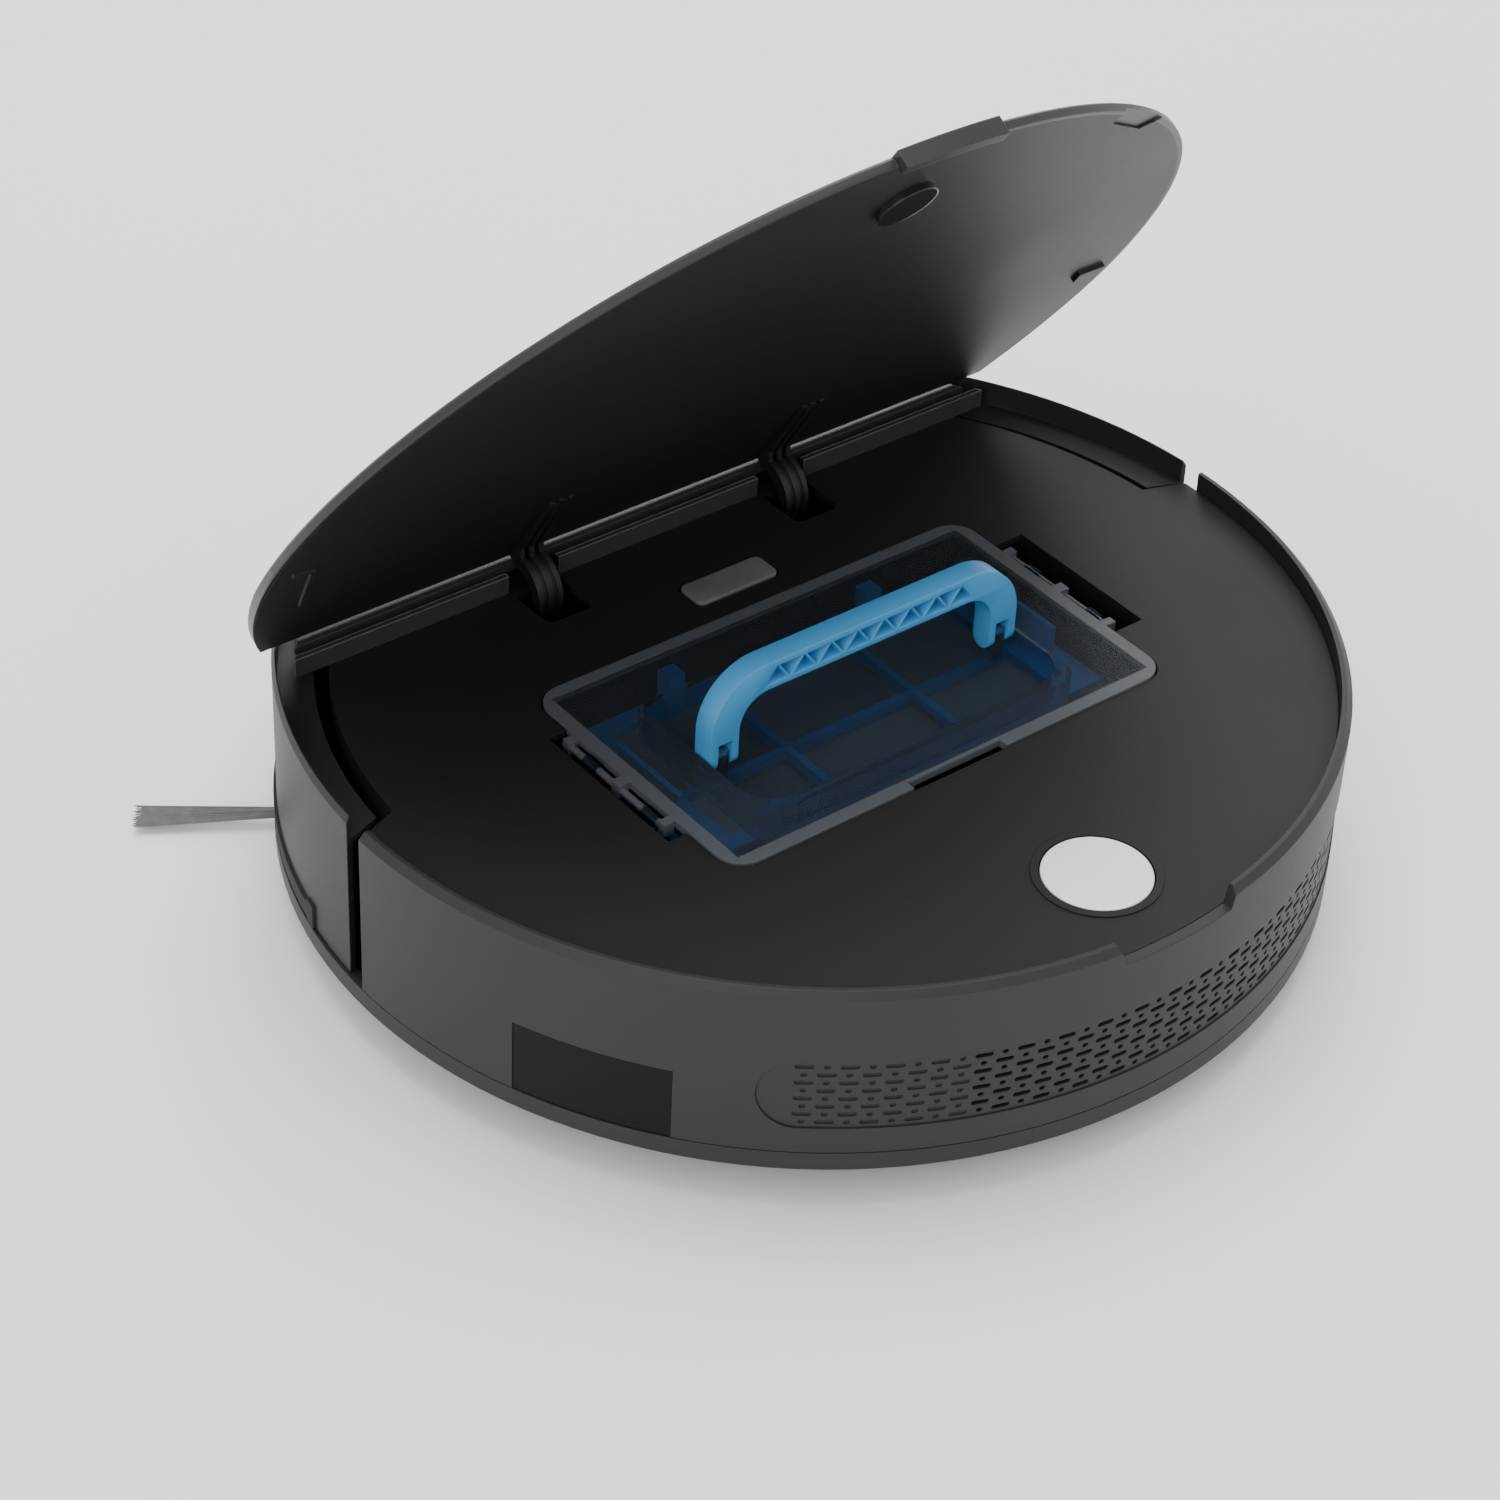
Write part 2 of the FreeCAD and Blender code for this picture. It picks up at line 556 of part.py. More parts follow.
liner_disc = common(
    cut(rod("Z", 0, 0, liner_low, liner_top, f"{lid_radius}-lid_border"), edge_notch), lid_zone)
ridge_low = f"{liner_low}-0.8"
lid_liner = fuse(
    liner_disc,
    bar((-153, 2.5), (-145.5, 5), 1.6, ridge_low, liner_low),
    bar((-145.5, 4.4), (-140, 33.6), 1.6, ridge_low, liner_low),
    box(143, 154, -4, 1, f"{liner_low}-1.5", liner_low))
lens = rod("Z", 0, "lens_y", f"{liner_low}-lens_rise", liner_low, "lens_radius")

# gooseneck arms: a C bend from the pin, round under the deck, then a gusset on the liner
bend_y = "(hinge_y-arm_bend*sin(lid_open))"
bend_z = f"({hinge_z}+arm_bend*cos(lid_open))"
arm_x0 = "(arm_x-arm_width/2)"
arm_x1 = "(arm_x+arm_width/2)"


def bend(x0, x1, inner, outer):
    tube = cut(rod("X", bend_y, bend_z, x0, x1, outer), rod("X", bend_y, bend_z, x0, x1, inner))
    points = [(bend_y, bend_z)]
    for angle in ("100+lid_open", "145+lid_open", "185+lid_open", "228+lid_open", "270+lid_open"):
        points.append((f"{bend_y}+40*cos({angle})", f"{bend_z}+40*sin({angle})"))
    return common(tube, prism("YZ", points, x0, x1))


arm_inner = "(arm_bend-arm_rib/2)"
arm_outer = "(arm_bend+arm_rib/2)"
end_y = f"({bend_y}+{arm_outer}*cos(100+lid_open))"
end_z = f"({bend_z}+{arm_outer}*sin(100+lid_open))"
root_y = f"({bend_y}+{arm_inner}*cos(100+lid_open))"
root_z = f"({bend_z}+{arm_inner}*sin(100+lid_open))"
arm_parts = [bend(arm_x0, arm_x1, "arm_bend-arm_core/2", "arm_bend+arm_core/2")]
for index in (-1, 0, 1):
    x0 = f"(arm_x+{index}*(arm_width-arm_rib_width)/2-arm_rib_width/2)"
    x1 = f"(arm_x+{index}*(arm_width-arm_rib_width)/2+arm_rib_width/2)"
    arm_parts.append(bend(x0, x1, arm_inner, arm_outer))
    arm_parts.append(prism("YZ", [
        (f"{root_y}+0.4", f"{root_z}-0.2"),
        (f"{root_y}+1", liner_low),
        (f"{lid_edge_y}-40", liner_low),
        (f"{lid_edge_y}-40", f"{liner_low}-0.5"),
        (f"{end_y}-2.6", f"{liner_low}-2.4"),
        (end_y, end_z),
    ], x0, x1))
arm_parts.append(prism("YZ", [
    (f"{root_y}+1", liner_low),
    (f"{lid_edge_y}-38", liner_low),
    (f"{lid_edge_y}-38", f"{liner_low}-0.4"),
    (f"{end_y}-2", f"{liner_low}-1"),
    (f"{root_y}+0.6", f"{liner_low}-1.6"),
], arm_x0, arm_x1))
arm_parts.append(rod("X", "hinge_y", hinge_z, arm_x0, arm_x1, "arm_eye"))
arm = cut(fuse(*arm_parts), rod("X", "hinge_y", hinge_z, 0, far, "pin_radius+pin_gap"))

open_turn = FreeCAD.Placement(
    V(), FreeCAD.Rotation(V(1, 0, 0), -number("lid_open")), V(0, number("hinge_y"), number(hinge_z)))
for shape, node in ((lid_cover, "lid_cover"), (lid_liner, "lid_liner"), (lens, "lid_lens"),
                    (arm, "lid_arm_right"), (mirrored(arm), "lid_arm_left")):
    holder = doc.addObject("Part::Compound", "opened")
    holder.Links = [shape]
    holder.Placement = open_turn
    piece(holder, node)

# ---- well for the dustbin ----

liner_x0 = f"(-{bin_half}-cut_left)"
liner_x1 = f"({bin_half}+cut_right+1)"
liner_y0 = "(bin_rear_y-pocket_gap-0.9)"
liner_y1 = "(bin_front_y+4)"
bin_low = f"({tray_top}+well_wall)"
duct = "inlet_half"
piece(cut(
    box(f"{liner_x0}-well_wall", f"{liner_x1}+well_wall", f"{liner_y0}-well_wall",
        f"{liner_y1}+well_wall", tray_top, deck_low),
    box(liner_x0, liner_x1, liner_y0, liner_y1, bin_low, f"{deck_low}+1"),
    box(f"-{duct}", duct, liner_y1, f"{liner_y1}+well_wall+1", "inlet_low", "inlet_high"),
    box("fan_x-22", "fan_x+22", f"{liner_y0}-well_wall-1", liner_y0, 32, 52),
), "bin_well")

# ---- dustbin, filter and cover ----

flange_top = f"({deck_top}-flange_drop)"
flange_low = f"({deck_top}-flange_drop-flange_wall)"
tub_x0 = f"(-{bin_half}+bin_lip)"
tub_x1 = f"({bin_half}-bin_lip)"
tub_y0 = "(bin_rear_y+bin_lip)"
tub_y1 = "(bin_front_y-bin_lip)"
grip = box("-grip_half", "grip_half", "bin_rear_y-1", "bin_rear_y+bin_lip", flange_low, far)
shelf_low = "(filter_z-2)"
shelf = box(f"{tub_x1}-bin_wall-5", f"{tub_x1}-bin_wall", "filter_rear", "filter_front",
            shelf_low, "filter_z")
bin_shell = cut(
    fuse(plate(tub_x0, tub_x1, tub_y0, tub_y1, bin_low, flange_top, "bin_corner-bin_lip"),
         plate(f"-{bin_half}", bin_half, "bin_rear_y", "bin_front_y", flange_low, flange_top,
               "bin_corner")),
    plate(f"{tub_x0}+bin_wall", f"{tub_x1}-bin_wall", f"{tub_y0}+bin_wall", f"{tub_y1}-bin_wall",
          f"{bin_low}+bin_wall", far, "bin_corner-bin_lip-bin_wall"),
    box(f"-{duct}+3", f"{duct}-3", f"{tub_y1}-bin_wall-1", "bin_front_y+1",
        "inlet_low+1", "inlet_high-1"),
    box("fan_x-20", "fan_x+20", "bin_rear_y-1", f"{tub_y0}+bin_wall+1", 34, 50),
    grip)
piece(fuse(bin_shell, shelf, mirrored(shelf)), "dustbin")

frame_half = f"({tub_x1}-bin_wall-filter_side_gap+2)"
frame_top = "(filter_z+filter_wall)"
ridge = box(f"{frame_half}-6", f"{frame_half}-4.4", -30, 0, frame_top, f"{flange_top}-1.3")
finger = box(36, 42, "filter_front-6", "filter_front", frame_top, f"{flange_top}-1.3")
open_half = "(recess_half+4)"
filter_frame = fuse(
    cut(box(f"-{frame_half}", frame_half, "filter_rear", "filter_front", "filter_z", frame_top),
        box(f"-{open_half}", open_half, "filter_rear+6", "filter_front-6", 0, far)),
    box(-26.2, -23.8, "filter_rear+6", "filter_front-6", "filter_z+0.6", f"{frame_top}+1.4"),
    box(23.8, 26.2, "filter_rear+6", "filter_front-6", "filter_z+0.6", f"{frame_top}+1.4"),
    box(f"-{open_half}", open_half, -21.2, -18.8, "filter_z+0.6", f"{frame_top}+1.4"),
    ridge, mirrored(ridge), finger, mirrored(finger))
piece(filter_frame, "filter_frame")
pleats = [box(f"-{open_half}", open_half, "filter_rear+3", "filter_front-3",
              "filter_z-1.2", "filter_z")]
for index in range(14):
    x = f"(-{open_half}+4+{index}*({open_half}*2-8)/13)"
    pleats.append(prism("XZ", [
        (f"{x}-1.4", "filter_z-1.2"),
        (f"{x}+1.4", "filter_z-1.2"),
        (f"{x}+0.4", "filter_z-pleat_depth"),
        (f"{x}-0.4", "filter_z-pleat_depth"),
    ], "filter_rear+3", "filter_front-3"))
piece(fuse(*pleats), "filter_pleats")

cover_low = f"({flange_top}+cover_gap)"
cover_top = f"({deck_top}+cover_rise)"
recess_floor = f"({deck_top}+cover_rise-recess_depth)"
recess = rounded(
    box("-recess_half", "recess_half", "recess_rear", "recess_front", recess_floor, far),
    5, UPRIGHT_EDGES)
recess = cut(recess, *[
    cut(box(x0, x1, "recess_rear", "recess_rear+14", 0, far),
        rod("Z", centre, "recess_rear+14", 0, far, 14))
    for x0, x1, centre in (("-recess_half", "-recess_half+14", "-recess_half+14"),
                           ("recess_half-14", "recess_half", "recess_half-14"))])
latch_x = f"({bin_half}+latch_out)"
latch_z = f"({deck_top}-latch_drop)"
lugs = []
for y0, y1 in ((-42, -39), (-20, -16), (5, 8)):
    lugs.append(box(f"{bin_half}-2", f"{latch_x}+knuckle_radius-0.6", y0, y1,
                    cover_low, cover_top))
    lugs.append(box(f"{bin_half}+0.3", f"{latch_x}+knuckle_radius-0.6", y0, y1,
                    f"{latch_z}-1.9", cover_top))
lug_set = fuse(*lugs, rod("Y", latch_x, latch_z, -42, 8, "latch_pin"))
post = box("pivot_x-post_width/2", "pivot_x+post_width/2", "pivot_y-3", "pivot_y+3",
           recess_floor, f"{cover_top}+1")
pivot_z = f"({deck_top}-pivot_drop)"
post = cut(post, rod("X", "pivot_y", pivot_z, 0, far, "pin_radius+pin_gap"))
cover_plate = fuse(
    plate(f"-{bin_half}", bin_half, "bin_rear_y", "bin_front_y", cover_low, cover_top,
          "bin_corner"),
    plate("-recess_half-1.5", "recess_half+1.5", "recess_rear-1.5", "recess_front+1.5",
          f"{recess_floor}-1.5", cover_low, 6))
piece(fuse(cut(cover_plate, recess, grip), lug_set, mirrored(lug_set), post, mirrored(post)),
      "bin_cover")

# ---- latches ----

latch = fuse(
    rod("Y", latch_x, latch_z, -8, -2, "knuckle_radius"),
    rod("Y", latch_x, latch_z, -37, -31, "knuckle_radius"),
    box(f"{latch_x}-latch_plate/2", f"{latch_x}+latch_plate/2", "latch_rear", "latch_front",
        f"{latch_z}-latch_reach", f"{latch_z}-2.9"),
    box(f"{latch_x}-latch_plate/2", f"{latch_x}+latch_plate/2", -37, -31, f"{latch_z}-3", latch_z),
    box(f"{latch_x}-latch_plate/2", f"{latch_x}+latch_plate/2", -8, -2, f"{latch_z}-3", latch_z))
latch = cut(latch, rod("Y", latch_x, latch_z, -60, 20, "latch_pin+pin_gap"))
pair(latch, "latch")

# ---- carry handle, drawn upright ----

handle_top = f"({pivot_z}+handle_reach)"
front_face = "(pivot_y+handle_depth/2)"
rear_face = "(pivot_y-handle_depth/2)"
outer_plate = box("-handle_half", "handle_half", rear_face, front_face, pivot_z, handle_top)
outer_plate = rounded(outer_plate, "handle_corner", (2, 6))
inner_plate = box("-handle_half+handle_leg", "handle_half-handle_leg", f"{rear_face}-1",
                  f"{front_face}+1", f"{pivot_z}-20", f"{handle_top}-handle_bar")
inner_plate = rounded(inner_plate, "handle_corner-handle_leg+1", (2, 6))
prong_low = box("pivot_x-post_width/2-post_gap", "pivot_x+post_width/2+post_gap",
                f"{rear_face}-1", f"{front_face}+1", 0, f"{pivot_z}+6")
eyes = []
for x0, x1 in (("handle_half-handle_leg", "pivot_x-post_width/2-post_gap"),
               ("pivot_x+post_width/2+post_gap", "handle_half")):
    eyes.append(rod("X", "pivot_y", pivot_z, x0, x1, "eyelet_radius"))
triangles = []
for index in range(15):
    x = f"(truss_pitch*{index - 7})"
    base, tip = (f"{handle_top}-7.9", f"{handle_top}-2.2")
    if index % 2:
        base, tip = tip, base
    triangles.append(prism("XZ", [
        (f"{x}-truss_pitch+0.9", base), (f"{x}+truss_pitch-0.9", base), (x, tip),
    ], f"{rear_face}-1", f"{front_face}-2"))
arch = cut(outer_plate, inner_plate, prong_low, mirrored(prong_low), *triangles)
eyes.append(rod("X", "pivot_y", pivot_z, "handle_half-handle_leg", "handle_half",
                "pin_radius"))
piece(fuse(arch, *eyes, *[mirrored(eye) for eye in eyes]), "carry_handle")

# ---- service flap and the socket below it ----

flap_low = f"({deck_top}+flap_rise-flap_wall)"
piece(plate("flap_left", "flap_right", "flap_rear", "flap_front", flap_low,
            f"{deck_top}+flap_rise", 2.4), "service_flap")
piece(cut(
    box("flap_left+5", "flap_right-5", "flap_rear+1", "flap_front-1", f"{deck_low}-7", deck_low),
    box("flap_left+9", "flap_right-9", "flap_rear+4", "flap_front-4", f"{deck_low}-5", far),
), "service_socket")

# ---- power button ----

button_top = f"({deck_top}+button_rise)"
button_low = f"({deck_top}+button_rise-button_wall)"
piece(fuse(
    rod("Z", 0, "button_y", button_low, button_top, "button_radius"),
    rod("Z", 0, "button_y", f"{button_low}-stem_length", button_low, "stem_radius"),
), "power_button")
piece(cut(
    rod("Z", 0, "button_y", deck_top, f"{deck_top}+0.4",
        "button_radius+button_gap+collar_width"),
    rod("Z", 0, "button_y", deck_top, above, "button_radius+button_gap"),
), "button_collar")
switch_top = f"({button_low}-stem_length-press_room)"
holder_half = "(button_radius+button_gap+2)"
piece(fuse(
    cut(box(f"-{holder_half}-2", f"{holder_half}+2", "button_y-7", "button_y+7",
            f"{switch_top}-6.5", deck_low),
        box(f"-{holder_half}", holder_half, "button_y-8", "button_y+8", f"{switch_top}-5", far)),
    box(-7, 7, "button_y-6", "button_y+6", f"{switch_top}-5", switch_top),
), "button_switch")

# ---- drive wheels ----

axle_z = "wheel_radius"
swing_y = "(wheel_y+swing_length)"
housing = cut(
    box(f"{wheel_x}-housing_inside", f"{wheel_x}+housing_outside", "wheel_y-housing_rear",
        "wheel_y+housing_front", tray_top, "housing_top"),
    box(well_x0, well_x1, well_y0, well_y1, 0, "housing_top-housing_wall"))
pair(fuse(housing, rod("X", swing_y, "swing_z", f"{well_x0}-1",
                       f"{well_x0}+gearbox_gap+gearbox_wall", "swing_pin")), "wheel_housing")
box_x0 = f"({well_x0}+gearbox_gap)"
box_x1 = f"({well_x0}+gearbox_gap+gearbox_wall)"
tyre_x0 = f"({wheel_x}-wheel_width/2)"
tyre_x1 = f"({wheel_x}+wheel_width/2)"
gearbox = fuse(
    prism("YZ", [(swing_y, "swing_z-11"), (swing_y, "swing_z+12"), ("wheel_y", f"{axle_z}+13"),
                 ("wheel_y", f"{axle_z}-13")], box_x0, box_x1),
    rod("X", swing_y, "swing_z", box_x0, box_x1, 8.5),
    rod("X", "wheel_y", axle_z, box_x0, box_x1, 13),
    rod("X", "wheel_y", axle_z, box_x1, f"{tyre_x0}-0.4", 8),
    rod("X", "wheel_y", axle_z, box_x0, f"{tyre_x1}-1", "axle_radius"))
pair(cut(gearbox, rod("X", swing_y, "swing_z", 0, f"{box_x1}+1", "swing_pin+shaft_gap")),
     "wheel_gearbox")
hub_radius_w = "(wheel_radius-tyre_wall)"
spokes = []
for index in range(6):
    hole = rod("X", "wheel_y", f"{axle_z}+16", f"{tyre_x0}+10", far, 4.4)
    spokes.append(spin(hole, V(1, 0, 0), 60 * index, 0, "wheel_y", axle_z))
pair(cut(
    rod("X", "wheel_y", axle_z, tyre_x0, tyre_x1, hub_radius_w),
    rod("X", "wheel_y", axle_z, f"{tyre_x1}-1.6", far, f"{hub_radius_w}-3"),
    rod("X", "wheel_y", axle_z, 0, far, "axle_radius+shaft_gap"),
    *spokes,
), "drive_wheel")
treads = []
for index in range(24):
    groove = box(f"{tyre_x0}+2.5", f"{tyre_x1}-2.5", "wheel_y-1.2", "wheel_y+1.2",
                 f"{axle_z}+wheel_radius-1.6", far)
    treads.append(spin(groove, V(1, 0, 0), 15 * index + 7.5, 0, "wheel_y", axle_z))
pair(cut(
    rod("X", "wheel_y", axle_z, tyre_x0, tyre_x1, "wheel_radius"),
    rod("X", "wheel_y", axle_z, tyre_x0, tyre_x1, hub_radius_w),
    *treads,
), "tyre")

# ---- front caster ----

socket_outer = "(socket_inner+socket_wall)"
piece(cut(
    rod("Z", 0, caster_y, tray_top, "stem_top+2", socket_outer),
    rod("Z", 0, caster_y, 0, "fork_top+1", "socket_inner"),
    rod("Z", 0, caster_y, 0, "stem_top+0.5", "caster_stem+shaft_gap"),
), "caster_socket")
axle_y = f"({caster_y}-caster_trail)"
leg_in = "(caster_width/2+fork_gap)"
leg = fuse(
    box(leg_in, f"{leg_in}+fork_wall", f"{axle_y}-4.5", f"{axle_y}+4.5", "caster_radius",
        "fork_top"),
    rod("X", axle_y, "caster_radius", leg_in, f"{leg_in}+fork_wall", 4.5))
piece(fuse(
    rod("Z", 0, caster_y, "fork_top-2.5", "fork_top", "socket_inner-4.5"),
    rod("Z", 0, caster_y, "fork_top", "stem_top", "caster_stem"),
    leg, mirrored(leg),
    rod("X", axle_y, "caster_radius", f"-{leg_in}-fork_wall", f"{leg_in}+fork_wall",
        "caster_axle"),
), "caster_fork")
piece(cut(
    rod("X", axle_y, "caster_radius", "-caster_width/2", "caster_width/2", "caster_radius"),
    rod("X", axle_y, "caster_radius", f"-{far}", far, "caster_axle+shaft_gap"),
), "caster_wheel")

# ---- side brushes ----

hub_top = "(floor_z-hub_gap)"
tuft_points = [(8, "hub_low+3.2"), (20, 3.4), ("tuft_length", 3.2), ("tuft_length", 1.6),
               (20, 1.4), (8, "hub_low+0.3")]
tuft = prism("XZ", tuft_points, "-tuft_width/2", "tuft_width/2")
seated = []
for index in range(3):
    holder = doc.addObject("Part::Compound", "tuft")
    holder.Links = [tuft]
    turn = FreeCAD.Rotation(V(0, 0, 1), number("tuft_angle") + 120 * index)
    holder.Placement = FreeCAD.Placement(V(), turn)
    seat(holder, side_x, side_y, 0)
    seated.append(holder)
pair(fuse(
    rod("Z", side_x, side_y, "hub_low", hub_top, "hub_radius"),
    rod("Z", side_x, side_y, hub_top, f"{hub_top}+side_shaft_length", "side_shaft"),
    *seated,
), "side_brush")
side_motor = cut(
    rod("Z", side_x, side_y, tray_top, side_motor_top, "side_motor_radius"),
    rod("Z", side_x, side_y, 0, f"{hub_top}+side_shaft_length+0.5", "side_shaft+shaft_gap"))
piece(fuse(side_motor, mirrored(side_motor)), "side_motors")

# ---- main brush, chamber, guard and drive ----

chamber_inner = "(brush_radius+chamber_gap)"
chamber_outer = "(brush_radius+chamber_gap+chamber_wall)"
chamber = cut(
    rod("X", brush_y, "brush_z", "-chamber_half", "chamber_half", chamber_outer),
    rod("X", brush_y, "brush_z", "-chamber_half+chamber_wall", "chamber_half-chamber_wall",
        chamber_inner),
    rod("X", brush_y, "brush_z", f"-{far}", far, "brush_shaft+shaft_gap"),
    box(f"-{far}", far, 0, far, 0, tray_top),
    box(f"-{duct}+3", f"{duct}-3", "bin_front_y", brush_y, "inlet_low+2", "inlet_high-2"))
piece(chamber, "brush_chamber")
fins = []
for index in range(6):
    fin = box("-brush_half", "brush_half", f"{brush_y}-fin_width/2", f"{brush_y}+fin_width/2",
              "brush_z", "brush_z+brush_radius")
    fins.append(spin(fin, V(1, 0, 0), 60 * index, 0, brush_y, "brush_z"))
piece(fuse(
    rod("X", brush_y, "brush_z", "-brush_half", "brush_half", "brush_core"),
    rod("X", brush_y, "brush_z", "-chamber_half", "chamber_half+3", "brush_shaft"),
    *fins,
), "main_brush")
guard_top = "(guard_low+guard_wall)"
mouth_y0 = f"({brush_y}-mouth_width/2)"
mouth_y1 = f"({brush_y}+mouth_width/2)"
guard_bars = []
for x in (-66, -33, 0, 33, 66):
    guard_bars.append(box(x - 1.5, x + 1.5, f"{mouth_y0}-5", f"{mouth_y1}+5",
                          "guard_low", guard_top))
    guard_bars.append(box(x - 1.5, x + 1.5, f"{mouth_y0}-5", f"{mouth_y0}-1", "guard_low",
                          "floor_z-1"))
    guard_bars.append(box(x - 1.5, x + 1.5, f"{mouth_y1}+1", f"{mouth_y1}+5", "guard_low",
                          "floor_z-1"))
piece(fuse(
    cut(box("-mouth_half-4", "mouth_half+4", f"{mouth_y0}-5", f"{mouth_y1}+5",
            "floor_z-1.2", "floor_z"),
        box("-mouth_half", "mouth_half", f"{mouth_y0}-0.5", f"{mouth_y1}+0.5", 0, far)),
    *guard_bars,
), "brush_guard")
piece(fuse(
    cut(box("chamber_half", "chamber_half+8", f"{brush_y}-9", f"{brush_y}+15", tray_top, 42),
        rod("X", brush_y, "brush_z", 0, "chamber_half+3.5", "brush_shaft+shaft_gap")),
    rod("X", f"{brush_y}+4", 31, "chamber_half+8", "chamber_half+8+brush_motor_length",
        "brush_motor_radius"),
), "brush_motor")

# ---- fan, battery, boards and sensors ----

fan_outlet = box("fan_x-22", "fan_x+22", f"-{far}", f"{fan_y}-fan_radius*0.6", 32, 52)
fan_case = cut(
    rod("Z", "fan_x", fan_y, tray_top, "fan_top", "fan_radius"),
    rod("Z", "fan_x", fan_y, f"{tray_top}+fan_wall", "fan_top-fan_wall", "fan_radius-fan_wall"),
    fan_outlet,
    rod("Z", "fan_x", fan_y, "fan_top-fan_wall-1", far, 16))
duct_reach = common(
    box("fan_x-24", "fan_x+24", f"-{far}", f"{fan_y}-fan_radius*0.5", 30.5, 53.5),
    rod("Z", 0, 0, 0, far, f"{shell_inner}-0.4"))
outlet_duct = cut(
    duct_reach,
    box("fan_x-22.5", "fan_x+22.5", f"-{far}", far, 32, 52),
    rod("Z", "fan_x", fan_y, 0, far, "fan_radius-fan_wall"))
piece(fuse(fan_case, outlet_duct), "fan_housing")
motor_top = "(rotor_low-2)"
piece(cut(
    rod("Z", "fan_x", fan_y, f"{tray_top}+fan_wall", motor_top, 14),
    rod("Z", "fan_x", fan_y, f"{motor_top}-8", far, "fan_shaft+shaft_gap"),
), "fan_motor")
blades = []
for index in range(9):
    blade = box("fan_x+8", "fan_x+fan_radius-fan_wall-rotor_gap", f"{fan_y}-0.7", f"{fan_y}+0.7",
                "rotor_low+1.5", "rotor_high")
    blades.append(spin(blade, V(0, 0, 1), 40 * index, "fan_x", fan_y, 0))
piece(fuse(
    rod("Z", "fan_x", fan_y, "rotor_low", "rotor_low+1.6", "fan_radius-fan_wall-rotor_gap"),
    rod("Z", "fan_x", fan_y, f"{motor_top}-7", "rotor_high-2", "fan_shaft"),
    rod("Z", "fan_x", fan_y, "rotor_low", "rotor_high-2", 9),
    *blades,
), "fan_rotor")
piece(box("battery_left", "battery_right", battery_rear, battery_front, tray_top, "battery_top"),
      "battery_pack")
piece(fuse(
    plate("battery_left+2", "battery_right-2", f"{battery_rear}+2", f"{battery_front}-2",
          "floor_z-0.8", "floor_z", 3),
    box("battery_left+5.3", "battery_right-5.3", f"{battery_rear}+5.3", f"{battery_front}-5.3",
        "floor_z", f"{tray_top}-0.2"),
), "battery_cover")
board_y0 = "(hinge_y+6.5)"
board_y1 = "(body_radius-board_inset)"
posts = []
for x in ("board_half-5", "-board_half+5"):
    for y in (f"{board_y0}+5", f"{board_y1}-5"):
        posts.append(rod("Z", x, y, tray_top, "board_z", "post_radius"))
piece(fuse(
    box("-board_half", "board_half", board_y0, board_y1, "board_z", "board_z+board_wall"),
    box(-18, 6, f"{board_y0}+10", f"{board_y0}+28", "board_z+board_wall", "board_z+board_wall+3"),
    box(20, 44, f"{board_y0}+6", f"{board_y0}+16", "board_z+board_wall", "board_z+board_wall+8"),
    *posts,
), "main_board")
plunger = box("switch_x-2", "switch_x+2", f"{switch_y}+5", f"{switch_y}+8.2", 43, 47)
bumper_switch = fuse(switch_body, plunger)
piece(fuse(bumper_switch, mirrored(bumper_switch)), "bumper_switches")
contact = plate("contact_x-8", "contact_x+8", "body_radius-contact_inset-4",
                "body_radius-contact_inset+4", "floor_z-0.8", "floor_z", 2)
piece(fuse(contact, mirrored(contact)), "charging_contacts")
piece(cut(
    rod("Z", "speaker_x", speaker_y, tray_top, f"{tray_top}+10", "speaker_radius"),
    rod("Z", "speaker_x", speaker_y, f"{tray_top}+8", far, "speaker_radius-3"),
), "speaker")
sensors = []
for angle in (18, 64, 116, 162):
    sensor = plate("body_radius-17", "body_radius-11", -6, 6, "floor_z-0.6", "floor_z", 1.5)
    sensors.append(spin(sensor, V(0, 0, 1), angle))
piece(fuse(*sensors), "cliff_sensors")
screws = []
for angle in (5, 80, 100, 175, -30, -75, -105, -150):
    x = f"(body_radius-12)*cos({angle})"
    y = f"(body_radius-12)*sin({angle})"
    screws.append(cut(rod("Z", x, y, "floor_z-1.2", "floor_z", 3),
                      rod("Z", x, y, "floor_z-2", "floor_z-0.6", 1.2)))
piece(fuse(*screws), "base_screws")

# ---- check every object and write one file for each piece ----

doc.recompute()
faults = [f"{o.Name} ({o.Label}): {o.State}" for o in doc.Objects
          if "Invalid" in o.State or "Error" in o.State]
for node in nodes:
    if node.Shape.isNull() or not node.Shape.isValid() or not node.Shape.Solids:
        faults.append(f"{node.Label}: no valid solid")
if faults:
    raise RuntimeError("\n".join(faults))
os.makedirs("parts", exist_ok=True)
for node in nodes:
    node.Shape.exportStep(f"parts/{node.Label}.step")
print(len(nodes), "pieces written")
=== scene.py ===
import math

import bmesh
import bpy
from mathutils import Matrix, Vector


